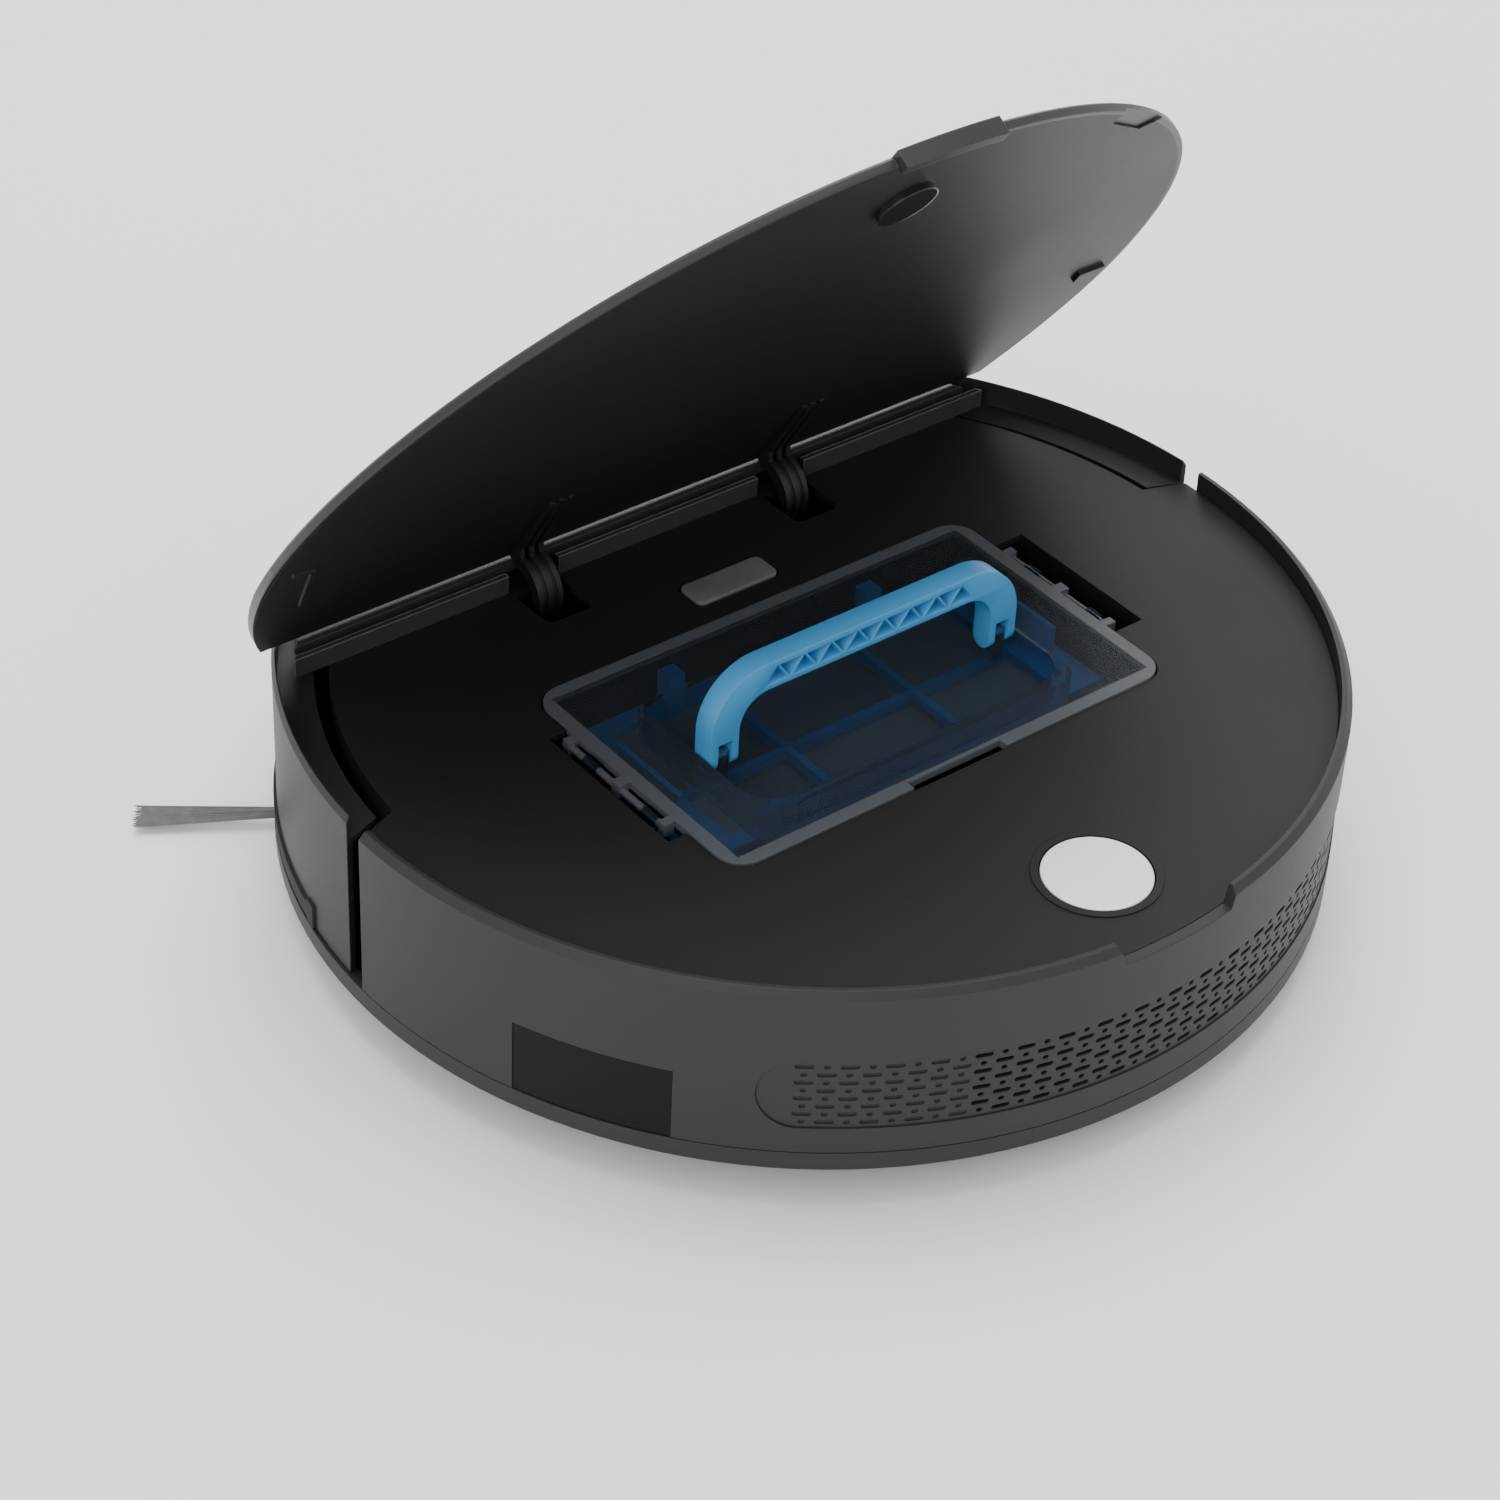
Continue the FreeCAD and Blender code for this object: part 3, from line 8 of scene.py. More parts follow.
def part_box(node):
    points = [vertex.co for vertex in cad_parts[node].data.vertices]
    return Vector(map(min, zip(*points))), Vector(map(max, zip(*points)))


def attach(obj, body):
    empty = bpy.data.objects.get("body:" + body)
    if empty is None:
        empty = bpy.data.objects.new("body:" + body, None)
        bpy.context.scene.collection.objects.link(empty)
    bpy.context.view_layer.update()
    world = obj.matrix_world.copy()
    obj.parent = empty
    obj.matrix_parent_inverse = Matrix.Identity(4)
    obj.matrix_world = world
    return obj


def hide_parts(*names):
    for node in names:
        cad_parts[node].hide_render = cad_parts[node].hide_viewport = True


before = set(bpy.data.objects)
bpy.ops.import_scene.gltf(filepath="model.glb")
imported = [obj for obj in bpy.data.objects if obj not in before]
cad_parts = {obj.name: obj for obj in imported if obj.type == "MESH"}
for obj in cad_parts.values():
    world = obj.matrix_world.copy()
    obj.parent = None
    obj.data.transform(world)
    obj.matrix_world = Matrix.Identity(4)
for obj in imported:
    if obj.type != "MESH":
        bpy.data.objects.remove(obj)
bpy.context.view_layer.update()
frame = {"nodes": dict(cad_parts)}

bl_info = {
    "name": "Robot vacuum cleaner",
    "version": (1, 0, 0),
    "blender": (4, 5, 0),
    "location": "View3D > Sidebar > Robot vacuum",
    "description": "Dresses the packed robot vacuum cleaner with its detailed pieces and finishes",
    "category": "Object",
}

NODES = frame["nodes"]
MM = 0.001
BODY_RADIUS = 0.165
FLANGE_WIDTH = 0.0046         # frosted band round the clear cover

GRILLE_INSET = 0.5 * MM       # grille face behind the shell's face
GRILLE_WALL = 1.6 * MM
GRILLE_ENDS = (-133.6, -46.4)  # degrees round the body
GRILLE_BLIND_END = -113.6      # holes before this are only pressed in
GRILLE_ROWS = 8
GRILLE_PITCH = 6.28 * MM      # from a long hole to the short one beside it
GRILLE_MARGIN = 13 * MM
GRILLE_STEPS = 80             # flat steps that the curved plate is cut into
BLIND_DEPTH = 0.6 * MM
CUTTER_DEPTH = 6 * MM

SWEEPER_INSET = 20.8 * MM     # side-brush axis inside the body's edge
SWEEPER_TURN = 37             # degrees from the side towards the bumper
TUFT_ROOT = 16 * MM
TUFT_COUNT = 3
TUFT_BRISTLES = 30


# ---- shader writing: sockets that take part in ordinary arithmetic ----

class Wire:
    """One output socket. Arithmetic on it adds Math nodes to its finish."""

    def __init__(self, finish, socket):
        self.finish = finish
        self.socket = socket

    def maths(self, operation, *others):
        return self.finish.maths(operation, self, *others)

    def __add__(self, other):
        return self.maths("ADD", other)

    __radd__ = __add__

    def __mul__(self, other):
        return self.maths("MULTIPLY", other)

    __rmul__ = __mul__

    def __sub__(self, other):
        return self.maths("SUBTRACT", other)

    def __rsub__(self, other):
        return self.finish.maths("SUBTRACT", other, self)

    def clamp(self):
        made = self.finish.add("ShaderNodeClamp", {}, {"Value": self})
        return made("Result")

    def sharpen(self, low, high):
        """0 below low, 1 above high and a smooth step between."""
        made = self.finish.add(
            "ShaderNodeMapRange", {"interpolation_type": "SMOOTHSTEP"},
            {"Value": self, "From Min": low, "From Max": high})
        return made("Result")


class Finish:
    """A material made of nodes, which reads the object's own coordinates."""

    def __init__(self, name):
        self.material = bpy.data.materials.new(name)
        self.material.use_nodes = True
        self.tree = self.material.node_tree
        self.tree.nodes.clear()
        self.point = self.add("ShaderNodeTexCoord")("Object")

    def add(self, kind, settings=None, values=None):
        """Adds a node: its settings first, then its sockets' values or links."""
        made = self.tree.nodes.new(kind)
        for key, value in (settings or {}).items():
            setattr(made, key, value)
        for key, value in (values or {}).items():
            if isinstance(value, Wire):
                self.tree.links.new(value.socket, made.inputs[key])
            else:
                made.inputs[key].default_value = value
        return lambda name: Wire(self, made.outputs[name])

    def maths(self, operation, *terms):
        made = self.add("ShaderNodeMath", {"operation": operation},
                        {i: term for i, term in enumerate(terms)})
        return made("Value")

    def noise(self, scale, detail=2.0, stretch=(1, 1, 1)):
        point = self.point
        if stretch != (1, 1, 1):
            point = self.add("ShaderNodeMapping", {}, {"Vector": point, "Scale": stretch})("Vector")
        return self.add("ShaderNodeTexNoise", {},
                        {"Vector": point, "Scale": scale, "Detail": detail})("Fac")

    def speckle(self, scale):
        cells = self.add("ShaderNodeTexVoronoi", {}, {"Vector": self.point, "Scale": scale})
        return cells("Distance")

    def blend(self, factor, first, second):
        return self.add("ShaderNodeMix", {"data_type": "RGBA"},
                        {0: factor, 6: first, 7: second})(2)

    def bump(self, height, depth, strength=1.0, normal=None):
        values = {"Height": height, "Distance": depth, "Strength": strength}
        if normal is not None:
            values["Normal"] = normal
        return self.add("ShaderNodeBump", {}, values)("Normal")

    def rounded(self, radius):
        return self.add("ShaderNodeBevel", {"samples": 4}, {"Radius": radius})("Normal")

    def edge_highlight_mask(self, rounded):
        """1 where the rounded normal turns away from the flat one, as along an edge: the mask of a
        painted edge highlight.
        """
        flat = self.add("ShaderNodeNewGeometry")("True Normal")
        agree = self.add("ShaderNodeVectorMath", {"operation": "DOT_PRODUCT"},
                         {0: rounded, 1: flat})("Value")
        return (1 - agree).sharpen(0.02, 0.3)

    def surface(self, values):
        shader = self.add("ShaderNodeBsdfPrincipled", {}, values)
        self.add("ShaderNodeOutputMaterial", {}, {"Surface": shader("BSDF")})
        return self.material


def rgba(colour, shade=1.0):
    return (*(min(1.0, c * shade) for c in colour[:3]), 1.0)


def moulded(name, colour, roughness, grain=0.000012, grain_scale=1500, edge=0.0004,
            edge_highlight_gain=1.7, patch=0.1, specular=0.5):
    """Moulded plastic: fine spark texture, slow tone changes and soft, slightly polished edges with
    a painted highlight along them.
    """
    finish = Finish(name)
    patches = finish.noise(14, 3)
    fine = finish.noise(grain_scale, 2)
    soft = finish.rounded(edge)
    edges = finish.edge_highlight_mask(soft)
    tone = finish.blend(patches, rgba(colour, 1 - patch), rgba(colour, 1 + patch))
    tone = finish.blend((fine - 0.5) * 0.5 + 0.25, tone, rgba(colour, 1.25))
    # Painted highlight: the colour is lightened along the edges to stand in for light catching
    # them.
    tone = finish.blend(edges * 0.55, tone, rgba(colour, edge_highlight_gain))
    rough = roughness + (patches - 0.5) * 0.10 + (fine - 0.5) * 0.12 - edges * 0.08
    return finish.surface({
        "Base Color": tone,
        "Roughness": rough.clamp(),
        "Normal": finish.bump(fine, grain, 1.0, soft),
        "Specular IOR Level": specular,
    })


def clear(name, colour, roughness, frosted=None, half=0.0, rear=0.0, front=0.0):
    """Clear tinted plastic with faint flow marks, frosted grey along its flange."""
    finish = Finish(name)
    flow = finish.noise(30, 2, (1, 3, 1))
    fine = finish.noise(900, 2)
    tone = finish.blend(flow, rgba(colour, 0.94), rgba(colour, 1.04))
    glass = finish.add("ShaderNodeBsdfPrincipled", {}, {
        "Base Color": tone,
        "Roughness": (roughness + (flow - 0.5) * 0.04).clamp(),
        "Normal": finish.bump(flow, 0.00004, 0.5),
        "Transmission Weight": 1.0,
        "IOR": 1.12,
    })("BSDF")
    if frosted is None:
        finish.add("ShaderNodeOutputMaterial", {}, {"Surface": glass})
        return finish.material
    split = finish.add("ShaderNodeSeparateXYZ", {}, {"Vector": finish.point})
    across = split("X").maths("ABSOLUTE") - half
    middle = (rear + front) / 2
    along = (split("Y") - middle).maths("ABSOLUTE") - (front - rear) / 2
    nearest = across.maths("MAXIMUM", along)
    flange = nearest.sharpen(-FLANGE_WIDTH - 0.0003, -FLANGE_WIDTH + 0.0003)
    grey = finish.add("ShaderNodeBsdfPrincipled", {}, {
        "Base Color": finish.blend(fine, rgba(frosted, 0.9), rgba(frosted, 1.15)),
        "Roughness": (0.42 + (fine - 0.5) * 0.1).clamp(),
        "Normal": finish.bump(fine, 0.00001, 0.8, finish.rounded(0.0005)),
    })("BSDF")
    mixed = finish.add("ShaderNodeMixShader", {}, {0: flange * 0.58 + 0.13, 1: glass, 2: grey})
    finish.add("ShaderNodeOutputMaterial", {}, {"Surface": mixed("Shader")})
    return finish.material


def bare_metal(name, colour, roughness):
    """Bare metal with drawn scratches."""
    finish = Finish(name)
    drawn = finish.noise(400, 2, (1, 0.06, 1))
    soft = finish.rounded(0.00015)
    return finish.surface({
        "Base Color": finish.blend(drawn, rgba(colour, 0.85), rgba(colour, 1.08)),
        "Metallic": 1.0,
        "Roughness": (roughness + (drawn - 0.5) * 0.2).clamp(),
        "Normal": finish.bump(drawn, 0.000008, 0.8, soft),
    })


def rubber(name, colour, roughness=0.8):
    """Matt rubber with a dusty bloom."""
    finish = Finish(name)
    bloom = finish.noise(60, 4)
    fine = finish.noise(1800, 1)
    soft = finish.rounded(0.0003)
    return finish.surface({
        "Base Color": finish.blend(bloom, rgba(colour, 0.8), rgba(colour, 1.5)),
        "Roughness": (roughness + (bloom - 0.5) * 0.12).clamp(),
        "Normal": finish.bump(fine, 0.00002, 0.9, soft),
        "Specular IOR Level": 0.3,
    })


def filter_paper(name, colour):
    """Fibrous filter paper with grey dust in its folds."""
    finish = Finish(name)
    fibres = finish.noise(900, 3, (1, 0.2, 1))
    dust = finish.noise(45, 4).sharpen(0.45, 0.75)
    tone = finish.blend(dust * 0.5, rgba(colour), rgba(colour, 0.55))
    return finish.surface({
        "Base Color": tone,
        "Roughness": (0.85 + (fibres - 0.5) * 0.1).clamp(),
        "Normal": finish.bump(fibres, 0.0001, 0.8),
    })


def circuit_board(name, colour):
    """Green solder mask with faint copper traces under it."""
    finish = Finish(name)
    traces = finish.speckle(220).sharpen(0.42, 0.5)
    soft = finish.rounded(0.0002)
    return finish.surface({
        "Base Color": finish.blend(traces * 0.6, rgba(colour), rgba(colour, 2.2)),
        "Roughness": (0.35 + traces * 0.1).clamp(),
        "Normal": finish.bump(traces, 0.00003, 0.7, soft),
    })


def bristle_finish(name, colour):
    """Nylon bristle, varied from one to the next."""
    finish = Finish(name)
    streak = finish.noise(260, 2)
    return finish.surface({
        "Base Color": finish.blend(streak, rgba(colour, 0.6), rgba(colour, 1.7)),
        "Roughness": (0.5 + (streak - 0.5) * 0.2).clamp(),
        "Normal": finish.bump(streak, 0.00003, 0.5),
    })


# ---- sizes and colours that a user would change ----

def colour_property(name, description, default):
    return bpy.props.FloatVectorProperty(
        name=name, description=description, subtype="COLOR", size=3, min=0, max=1, default=default)


def length_property(name, description, default):
    return bpy.props.FloatProperty(
        name=name, description=description, subtype="DISTANCE", unit="LENGTH", default=default)


class VacuumColours(bpy.types.PropertyGroup):
    shell: colour_property("Shell", "Satin outer shells", (0.0165, 0.0168, 0.0172))
    deck: colour_property("Deck", "Near-black deck under the lid", (0.0062, 0.0062, 0.0065))
    lid: colour_property("Lid lining", "Underside of the lid", (0.0075, 0.0075, 0.008))
    trim: colour_property("Trim", "Grey cap and hinge trim", (0.024, 0.024, 0.0245))
    handle: colour_property("Handle", "Carry handle", (0.05, 0.27, 0.56))
    frame: colour_property("Filter frame", "Frame under the clear cover", (0.008, 0.12, 0.30))
    cover: colour_property("Clear cover", "Smoky tint of the dustbin cover", (0.50, 0.63, 0.74))
    button: colour_property("Button", "White power button", (0.80, 0.80, 0.80))
    flap: colour_property("Service flap", "Grey rubber flap", (0.10, 0.10, 0.102))
    inner: colour_property("Inner parts", "Housings inside the body", (0.03, 0.03, 0.031))


class VacuumSizes(bpy.types.PropertyGroup):
    dash_length: length_property("Dash length", "Long hole of the exhaust grille", 5.4 * MM)
    hole_height: length_property("Hole height", "Height of the grille's holes", 1.5 * MM)
    dot_length: length_property("Dot length", "Short hole of the exhaust grille", 1.9 * MM)
    row_pitch: length_property("Row pitch", "Distance between rows of holes", 2.9 * MM)
    tuft_length: length_property("Tuft length", "Reach of a side-brush tuft", 66 * MM)
    bristle_radius: length_property("Bristle radius", "Radius of one side bristle", 0.22 * MM)
    floor_size: length_property("Floor size", "Side of the floor", 14.0)


def colours():
    return bpy.context.scene.vacuum_colours


def sizes():
    return bpy.context.scene.vacuum_sizes


# ---- modelling helpers ----

def select_only(*objects):
    bpy.ops.object.select_all(action="DESELECT")
    for obj in objects:
        obj.select_set(True)
    bpy.context.view_layer.objects.active = objects[0]


def apply_modifiers(obj):
    select_only(obj)
    for modifier in list(obj.modifiers):
        bpy.ops.object.modifier_apply(modifier=modifier.name)


def settle(obj):
    """Puts the place, turn and size of a piece into its mesh."""
    select_only(obj)
    bpy.ops.object.transform_apply(location=True, rotation=True, scale=True)


def join(objects, name):
    select_only(*objects)
    if len(objects) > 1:
        bpy.ops.object.join()
    objects[0].name = name
    settle(objects[0])
    return objects[0]


def coat(obj, material):
    obj.data.materials.clear()
    obj.data.materials.append(material)


def finished(obj, body, slot, material, *nodes, smooth=35):
    """Smooths, colours and mounts a piece, and lets it stand for its CAD nodes."""
    select_only(obj)
    bpy.ops.object.shade_smooth_by_angle(angle=math.radians(smooth))
    coat(obj, material)
    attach(obj, body)
    if nodes:
        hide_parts(*nodes)


def paint(material, *names):
    for name in names:
        coat(NODES[name], material)


def copy_of(node, name):
    """A merged copy of a CAD node's mesh, with flat areas joined, ready to be modelled on."""
    source = NODES[node]
    piece = bpy.data.objects.new(name, source.data.copy())
    piece.matrix_world = source.matrix_world.copy()
    bpy.context.scene.collection.objects.link(piece)
    piece.parent = None
    select_only(piece)
    bpy.ops.object.mode_set(mode="EDIT")
    bpy.ops.mesh.select_all(action="SELECT")
    bpy.ops.mesh.remove_doubles(threshold=0.000004)
    bpy.ops.mesh.dissolve_limited(angle_limit=math.radians(0.6))
    bpy.ops.object.mode_set(mode="OBJECT")
    settle(piece)
    return piece


def softened(node, name, width, segments=2, angle=38):
    """A copy of a CAD node with its moulded edges rounded over."""
    piece = copy_of(node, name)
    bevel = piece.modifiers.new("edge round", "BEVEL")
    bevel.width = width
    bevel.segments = segments
    bevel.limit_method = "ANGLE"
    bevel.angle_limit = math.radians(angle)
    bevel.use_clamp_overlap = True
    bevel.harden_normals = False
    apply_modifiers(piece)
    return piece


# ---- pieces ----

class OBJECT_OT_vacuum_shells(bpy.types.Operator):
    """Tray, rear shell, bumper and cap in satin plastic, with the smoked window"""
    bl_idname = "object.vacuum_shells"
    bl_label = "Outer shells"

    def execute(self, context):
        # Each finish's edges are painted lighter as a highlight, and the hinge trim's most
        # strongly.
        shell = moulded("satin shell", colours().shell, 0.5, grain=0.000010, edge=0.0006,
                        edge_highlight_gain=2.4, specular=0.3)
        deck = moulded("grained deck", colours().deck, 0.62, grain=0.000014, edge=0.0004,
                       edge_highlight_gain=2.0, specular=0.3)
        trim = moulded("satin trim", colours().trim, 0.42, edge=0.0005, edge_highlight_gain=2.0)
        paint(shell, "base_tray", "rear_shell", "bumper", "battery_cover", "exhaust_grille")
        paint(deck, "deck_panel", "chassis_wall", "hinge_brackets", "button_collar")
        paint(moulded("glossy hinge trim", (0.03, 0.03, 0.031), 0.16, grain=0.000002, edge=0.0006,
                      edge_highlight_gain=9), "hinge_trim")
        paint(trim, "front_cap")
        paint(rubber("bumper rubber", (0.018, 0.018, 0.018)), "bumper_strip")
        window = moulded("smoked window", (0.003, 0.003, 0.0033), 0.35, grain=0.000002,
                         edge=0.0003, edge_highlight_gain=4, specular=0.12)
        paint(window, "smoked_window", "cliff_sensors")
        return {"FINISHED"}


class OBJECT_OT_vacuum_grille(bpy.types.Operator):
    """Exhaust grille: staggered rows of long and short holes, blind at one end"""
    bl_idname = "object.vacuum_grille"
    bl_label = "Exhaust grille"

    def cutter(self, length, height, depth):
        """A hole's shape: a bar with half-round ends, standing through the plate."""
        bpy.ops.mesh.primitive_cube_add(size=1)
        tool = bpy.context.object
        tool.scale = (length, depth, height)
        settle(tool)
        bpy.ops.object.mode_set(mode="EDIT")
        mesh = bmesh.from_edit_mesh(tool.data)
        for edge in mesh.edges:
            first, second = (v.co for v in edge.verts)
            edge.select = abs(first.y - second.y) > depth / 2
        bmesh.update_edit_mesh(tool.data)
        bpy.ops.mesh.bevel(offset=height * 0.49, segments=4)
        bpy.ops.object.mode_set(mode="OBJECT")
        return tool

    def execute(self, context):
        size = sizes()
        low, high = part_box("exhaust_grille")
        bottom, top = low[2], high[2]
        radius = BODY_RADIUS - GRILLE_INSET
        wall = GRILLE_WALL
        start, end = (math.radians(angle) for angle in GRILLE_ENDS)
        length = (end - start) * radius
        height = top - bottom
        bpy.ops.mesh.primitive_cube_add(size=1)
        plate = bpy.context.object
        plate.scale = (length, wall, height)
        settle(plate)
        bpy.ops.object.mode_set(mode="EDIT")
        mesh = bmesh.from_edit_mesh(plate.data)
        for edge in mesh.edges:
            first, second = (v.co for v in edge.verts)
            edge.select = abs(first.y - second.y) > wall / 2
        bmesh.update_edit_mesh(plate.data)
        bpy.ops.mesh.bevel(offset=height * 0.4999, segments=12)
        for step in range(1, GRILLE_STEPS):
            bpy.ops.mesh.select_all(action="SELECT")
            bpy.ops.mesh.bisect(plane_co=(-length / 2 + length * step / GRILLE_STEPS, 0, 0),
                                plane_no=(1, 0, 0))
        bpy.ops.object.mode_set(mode="OBJECT")
        dash = self.cutter(size.dash_length, size.hole_height, CUTTER_DEPTH)
        dot = self.cutter(size.dot_length, size.hole_height, CUTTER_DEPTH)
        tools = []
        columns = int((length - 22 * MM) / GRILLE_PITCH)
        blind_end = (math.radians(GRILLE_BLIND_END) - start) * radius - length / 2
        for row in range(GRILLE_ROWS):
            for column in range(columns):
                x = -length / 2 + GRILLE_MARGIN + column * GRILLE_PITCH
                if row in (0, GRILLE_ROWS - 1) and abs(x) > length / 2 - 12 * MM:
                    continue
                pattern = dash if (row + column) % 2 else dot
                tool = pattern.copy()
                tool.data = pattern.data.copy()
                context.scene.collection.objects.link(tool)
                blind = x < blind_end
                tool.location = (x, BLIND_DEPTH - CUTTER_DEPTH / 2 - wall / 2 if blind else 0,
                                 (row - (GRILLE_ROWS - 1) / 2) * size.row_pitch)
                tools.append(tool)
        tools = join(tools, "grille holes")
        holes = plate.modifiers.new("holes", "BOOLEAN")
        holes.operation = "DIFFERENCE"
        holes.solver = "EXACT"
        holes.object = tools
        apply_modifiers(plate)
        for spare in (tools, dash, dot):
            bpy.data.objects.remove(spare)
        for vertex in plate.data.vertices:
            along, out, up = vertex.co
            angle = start + (along + length / 2) / radius
            reach = radius - wall / 2 - out
            vertex.co = (reach * math.cos(angle), reach * math.sin(angle),
                         up + (bottom + top) / 2)
        plate.name = "exhaust_grille_holes"
        shell = bpy.data.materials["satin shell"]
        finished(plate, "chassis", "shell", shell, "exhaust_grille", smooth=30)
        return {"FINISHED"}


class OBJECT_OT_vacuum_lid(bpy.types.Operator):
    """Lid cover with rounded rim, its black lining, lens boss and hinge arms"""
    bl_idname = "object.vacuum_lid"
    bl_label = "Lid"

    def execute(self, context):
        # The lid's rim, lining and lens get strong painted highlights along their edges.
        cover = moulded("lid cover", colours().shell, 0.4, grain=0.000006, edge=0.0008,
                        edge_highlight_gain=6.5, specular=0.35)
        lining = moulded("lid lining", colours().lid, 0.5, grain=0.000010, edge=0.0004,
                         edge_highlight_gain=3.5, specular=0.4)
        paint(cover, "lid_cover")
        paint(lining, "lid_liner", "lid_arm_right", "lid_arm_left")
        lens = moulded("glossy lens", (0.01, 0.01, 0.011), 0.12, grain=0.000001, edge=0.0008,
                       edge_highlight_gain=6)
        paint(lens, "lid_lens")
        return {"FINISHED"}


class OBJECT_OT_vacuum_handle(bpy.types.Operator):
    """Blue carry handle with rounded edges"""
    bl_idname = "object.vacuum_handle"
    bl_label = "Carry handle"

    def execute(self, context):
        blue = moulded("blue handle", colours().handle, 0.42, grain=0.000006, edge=0.0004,
                       edge_highlight_gain=1.3, patch=0.05)
        handle = softened("carry_handle", "carry_handle_moulding", 0.4 * MM)
        finished(handle, "handle", "blue", blue, "carry_handle")
        return {"FINISHED"}


class OBJECT_OT_vacuum_bin(bpy.types.Operator):
    """Clear dustbin cover and bin, blue filter frame, pleated filter and latches"""
    bl_idname = "object.vacuum_bin"
    bl_label = "Dustbin"

    def execute(self, context):
        low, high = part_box("dustbin")
        smoke = clear("smoky cover", colours().cover, 0.16, (0.085, 0.095, 0.108),
                      half=high[0], rear=low[1], front=high[1])
        tub = clear("smoky bin", tuple(c * 0.6 for c in colours().cover), 0.15)
        paint(smoke, "bin_cover")
        paint(clear("smoky latch", tuple(c * 0.75 for c in colours().cover), 0.1),
              "latch_right", "latch_left")
        paint(tub, "dustbin")
        paint(moulded("blue frame", colours().frame, 0.5, patch=0.05), "filter_frame")
        paint(filter_paper("filter paper", (0.10, 0.115, 0.13)), "filter_pleats")
        paint(moulded("bin well", (0.006, 0.006, 0.0065), 0.6), "bin_well")
        return {"FINISHED"}


class OBJECT_OT_vacuum_button(bpy.types.Operator):
    """White round button with a soft rim, and the grey service flap"""
    bl_idname = "object.vacuum_button"
    bl_label = "Button and flap"

    def execute(self, context):
        white = moulded("white button", colours().button, 0.35, grain=0.000003, edge=0.0006,
                        edge_highlight_gain=1.1, patch=0.02)
        button = softened("power_button", "power_button_cap", 0.5 * MM, 3)
        finished(button, "button", "disc", white, "power_button")
        grey = rubber("grey flap", colours().flap, 0.6)
        flap = softened("service_flap", "service_flap_rubber", 0.45 * MM, 3)
        finished(flap, "flap", "rubber", grey, "service_flap")
        return {"FINISHED"}


class OBJECT_OT_vacuum_wheels(bpy.types.Operator):
    """Drive wheels, caster and their housings"""
    bl_idname = "object.vacuum_wheels"
    bl_label = "Wheels"

    def execute(self, context):
        inner = moulded("inner moulding", colours().inner, 0.55)
        tyre = rubber("tyre rubber", (0.02, 0.02, 0.02))
        paint(inner, "wheel_housing_right", "wheel_housing_left", "wheel_gearbox_right",
              "wheel_gearbox_left", "drive_wheel_right", "drive_wheel_left", "caster_socket",
              "caster_fork", "brush_chamber", "brush_guard", "fan_housing", "fan_rotor",
              "bumper_switches", "button_switch", "speaker")
        paint(tyre, "tyre_right", "tyre_left", "caster_wheel")
        return {"FINISHED"}


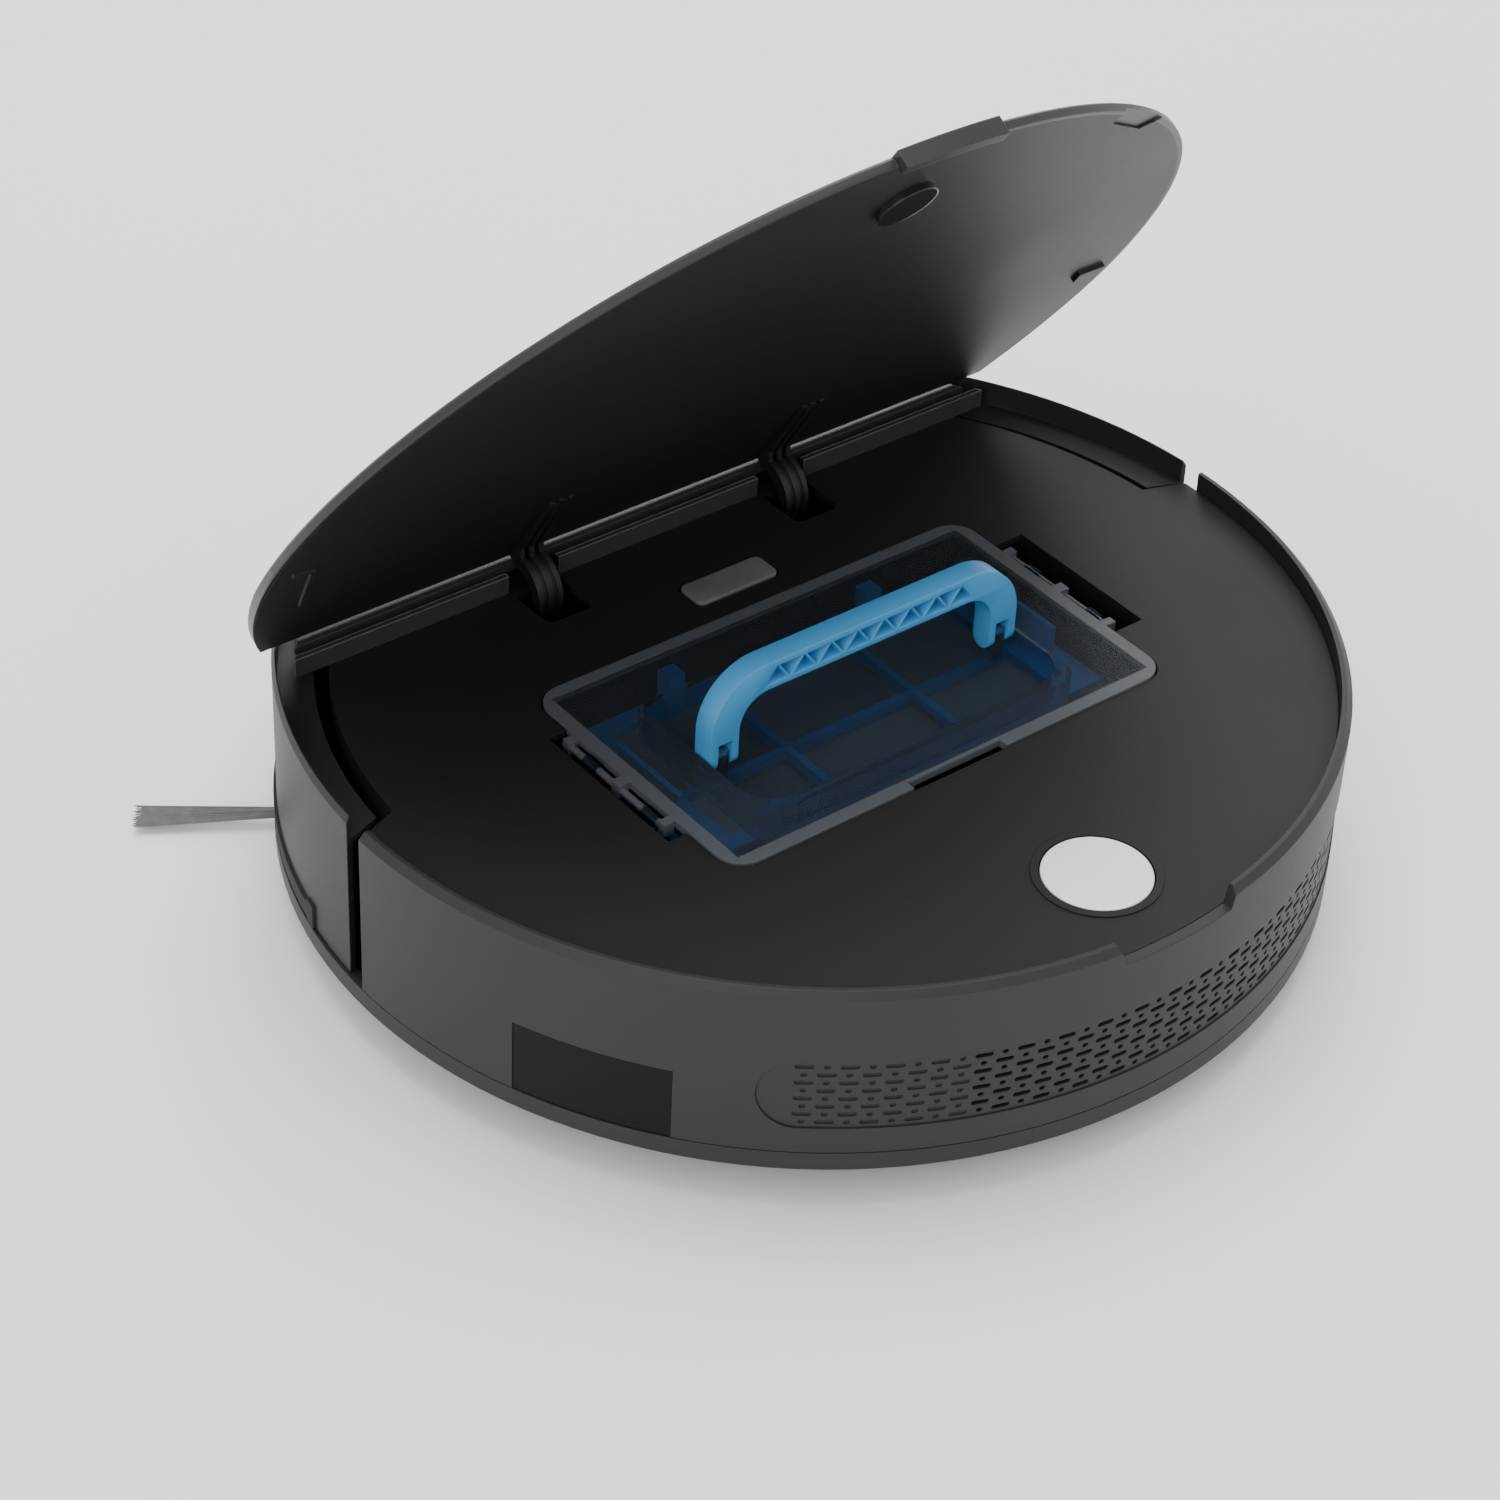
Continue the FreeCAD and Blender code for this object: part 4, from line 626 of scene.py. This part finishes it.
class OBJECT_OT_vacuum_brushes(bpy.types.Operator):
    """Side brushes of loose bristle tufts and the main brush"""
    bl_idname = "object.vacuum_brushes"
    bl_label = "Brushes"

    def side_brush(self, side, material):
        size = sizes()
        turn = math.radians(SWEEPER_TURN)
        reach = BODY_RADIUS - SWEEPER_INSET
        centre = Vector((side * reach * math.cos(turn), reach * math.sin(turn), 0))
        bpy.ops.mesh.primitive_cylinder_add(vertices=48, radius=11 * MM, depth=4.5 * MM,
                                            location=(0, 0, 7.25 * MM))
        hub = bpy.context.object
        bpy.ops.object.mode_set(mode="EDIT")
        mesh = bmesh.from_edit_mesh(hub.data)
        for face in mesh.faces:
            face.select = face.normal.z < -0.9
        bmesh.update_edit_mesh(hub.data)
        bpy.ops.mesh.inset(thickness=3 * MM, depth=0)
        bpy.ops.mesh.extrude_region_move(TRANSFORM_OT_translate={"value": (0, 0, 1.2 * MM)})
        bpy.ops.object.mode_set(mode="OBJECT")
        settle(hub)
        bpy.ops.mesh.primitive_cylinder_add(vertices=24, radius=2.5 * MM, depth=9 * MM,
                                            location=(0, 0, 13.9 * MM))
        parts = [hub, bpy.context.object]
        bpy.ops.mesh.primitive_cylinder_add(vertices=5, radius=size.bristle_radius,
                                            depth=size.tuft_length - TUFT_ROOT)
        bristle = bpy.context.object
        bristle.rotation_euler = (0, math.radians(90), 0)
        settle(bristle)
        for tuft in range(TUFT_COUNT):
            heading = math.radians((36 if side > 0 else 144) + 120 * tuft)
            outward = Matrix.Rotation(heading, 4, "Z")
            bpy.ops.mesh.primitive_cone_add(vertices=12, radius1=3.0 * MM, radius2=2.4 * MM,
                                            depth=9 * MM)
            clamp = bpy.context.object
            clamp.matrix_world = (outward @ Matrix.Translation((12.5 * MM, 0, 6.3 * MM))
                                  @ Matrix.Rotation(math.radians(90), 4, "Y")
                                  @ Matrix.Diagonal((0.75, 1, 1, 1)))
            parts.append(clamp)
            for index in range(TUFT_BRISTLES):
                spread = index * 7 % TUFT_BRISTLES / (TUFT_BRISTLES - 1) - 0.5
                lift = index * 11 % TUFT_BRISTLES / (TUFT_BRISTLES - 1) - 0.5
                strand = bristle.copy()
                strand.data = bristle.data.copy()
                bpy.context.scene.collection.objects.link(strand)
                length = 1 - 0.05 * (index * 13 % TUFT_BRISTLES / (TUFT_BRISTLES - 1))
                strand.matrix_world = (
                    outward
                    @ Matrix.Translation((TUFT_ROOT, spread * 3.4 * MM, (5.2 + lift * 1.6) * MM))
                    @ Matrix.Rotation(spread * math.radians(8.5), 4, "Z")
                    @ Matrix.Rotation(math.radians(2.7 + lift * 1.6), 4, "Y")
                    @ Matrix.Diagonal((length, 1, 1, 1))
                    @ Matrix.Translation(((size.tuft_length - TUFT_ROOT) / 2, 0, 0)))
                parts.append(strand)
        bpy.data.objects.remove(bristle)
        name = "side_brush_bristles_right" if side > 0 else "side_brush_bristles_left"
        brush = join(parts, name)
        brush.location = centre
        settle(brush)
        ending = "right" if side > 0 else "left"
        finished(brush, "sweeper_r" if side > 0 else "sweeper_l", "bristle", material,
                 f"side_brush_{ending}")

    def execute(self, context):
        bristles = bristle_finish("grey bristles", (0.10, 0.10, 0.10))
        self.side_brush(1, bristles)
        self.side_brush(-1, bristles)
        paint(bristle_finish("brush roller", (0.02, 0.02, 0.022)), "main_brush")
        return {"FINISHED"}


class OBJECT_OT_vacuum_inside(bpy.types.Operator):
    """Motors, battery, board, contacts and screws"""
    bl_idname = "object.vacuum_inside"
    bl_label = "Inner parts"

    def execute(self, context):
        steel = bare_metal("bare steel", (0.55, 0.55, 0.56), 0.32)
        paint(steel, "charging_contacts", "base_screws", "service_socket")
        paint(moulded("motor paint", (0.09, 0.09, 0.095), 0.4, patch=0.2), "side_motors",
              "brush_motor", "fan_motor")
        paint(moulded("battery wrap", (0.012, 0.04, 0.16), 0.35, patch=0.15), "battery_pack")
        paint(circuit_board("solder mask", (0.01, 0.09, 0.035)), "main_board")
        return {"FINISHED"}


class OBJECT_OT_vacuum_stage(bpy.types.Operator):
    """Pale floor, soft studio lights and the camera"""
    bl_idname = "object.vacuum_stage"
    bl_label = "Stage"

    def area(self, name, place, size, power, target=(0, 0, 0.05)):
        lamp = bpy.data.lights.new(name, "AREA")
        lamp.shape = "DISK"
        lamp.size = size
        lamp.energy = power
        holder = bpy.data.objects.new(name, lamp)
        bpy.context.scene.collection.objects.link(holder)
        holder.location = place
        aim = Vector(target) - Vector(place)
        holder.rotation_euler = aim.to_track_quat("-Z", "Y").to_euler()

    def camera(self):
        around, above, roll = (math.radians(a) for a in (-41.3, 34.21, 3.83))
        back = Vector((math.sin(around) * math.cos(above), -math.cos(around) * math.cos(above),
                       math.sin(above)))
        level = Vector((math.cos(around), math.sin(around), 0))
        upward = back.cross(level)
        right = level * math.cos(roll) + upward * math.sin(roll)
        up = upward * math.cos(roll) - level * math.sin(roll)
        lens = bpy.data.cameras.new("camera")
        holder = bpy.data.objects.new("camera", lens)
        bpy.context.scene.collection.objects.link(holder)
        place = Vector((0.1182, 0.1202, 0)) + back * 1.2911
        turn = Matrix((right, up, back)).transposed().to_4x4()
        holder.matrix_world = Matrix.Translation(place) @ turn
        lens.sensor_width = 36
        lens.lens = 36 * 3624.6 / 1500
        lens.shift_x = -0.0674
        lens.shift_y = -0.1407
        lens.clip_end = 60
        bpy.context.scene.camera = holder

    def execute(self, context):
        bpy.ops.mesh.primitive_plane_add(size=sizes().floor_size)
        floor = bpy.context.object
        floor.name = "floor"
        ground = Finish("pale floor")
        mottle = ground.noise(3, 3)
        coat(floor, ground.surface({
            "Base Color": ground.blend(mottle, (0.93, 0.89, 0.86, 1), (0.96, 0.925, 0.895, 1)),
            "Roughness": (0.85 + (mottle - 0.5) * 0.05).clamp(),
            "Specular IOR Level": 0.1,
        }))
        world = bpy.data.worlds.new("studio")
        world.use_nodes = True
        background = world.node_tree.nodes["Background"]
        background.inputs["Color"].default_value = (1.0, 0.975, 0.95, 1)
        background.inputs["Strength"].default_value = 1.22
        context.scene.world = world
        self.area("overhead light", (0.3, 0.5, 2.6), 2.2, 58)
        self.area("side light", (-2.2, -1.2, 1.5), 1.4, 22)
        self.area("rim light", (1.6, 2.0, 1.2), 1.0, 16)
        self.camera()
        return {"FINISHED"}


class VIEW3D_PT_vacuum(bpy.types.Panel):
    """Lists every piece of the robot vacuum cleaner"""
    bl_idname = "VIEW3D_PT_vacuum"
    bl_label = "Robot vacuum"
    bl_space_type = "VIEW_3D"
    bl_region_type = "UI"
    bl_category = "Robot vacuum"

    def draw(self, context):
        for group in (context.scene.vacuum_colours, context.scene.vacuum_sizes):
            for name in group.__annotations__:
                self.layout.prop(group, name)
        for operator in OPERATORS:
            self.layout.operator(operator.bl_idname)


OPERATORS = (
    OBJECT_OT_vacuum_stage,
    OBJECT_OT_vacuum_shells,
    OBJECT_OT_vacuum_grille,
    OBJECT_OT_vacuum_lid,
    OBJECT_OT_vacuum_handle,
    OBJECT_OT_vacuum_bin,
    OBJECT_OT_vacuum_button,
    OBJECT_OT_vacuum_wheels,
    OBJECT_OT_vacuum_brushes,
    OBJECT_OT_vacuum_inside,
)
CLASSES = (VacuumColours, VacuumSizes, *OPERATORS, VIEW3D_PT_vacuum)


def register():
    for group in CLASSES:
        bpy.utils.register_class(group)
    bpy.types.Scene.vacuum_colours = bpy.props.PointerProperty(type=VacuumColours)
    bpy.types.Scene.vacuum_sizes = bpy.props.PointerProperty(type=VacuumSizes)


def unregister():
    del bpy.types.Scene.vacuum_sizes
    del bpy.types.Scene.vacuum_colours
    for group in reversed(CLASSES):
        bpy.utils.unregister_class(group)


def main():
    register()
    bpy.ops.object.vacuum_stage()
    bpy.ops.object.vacuum_shells()
    bpy.ops.object.vacuum_grille()
    bpy.ops.object.vacuum_lid()
    bpy.ops.object.vacuum_handle()
    bpy.ops.object.vacuum_bin()
    bpy.ops.object.vacuum_button()
    bpy.ops.object.vacuum_wheels()
    bpy.ops.object.vacuum_brushes()
    bpy.ops.object.vacuum_inside()


if __name__ == "__main__":
    main()
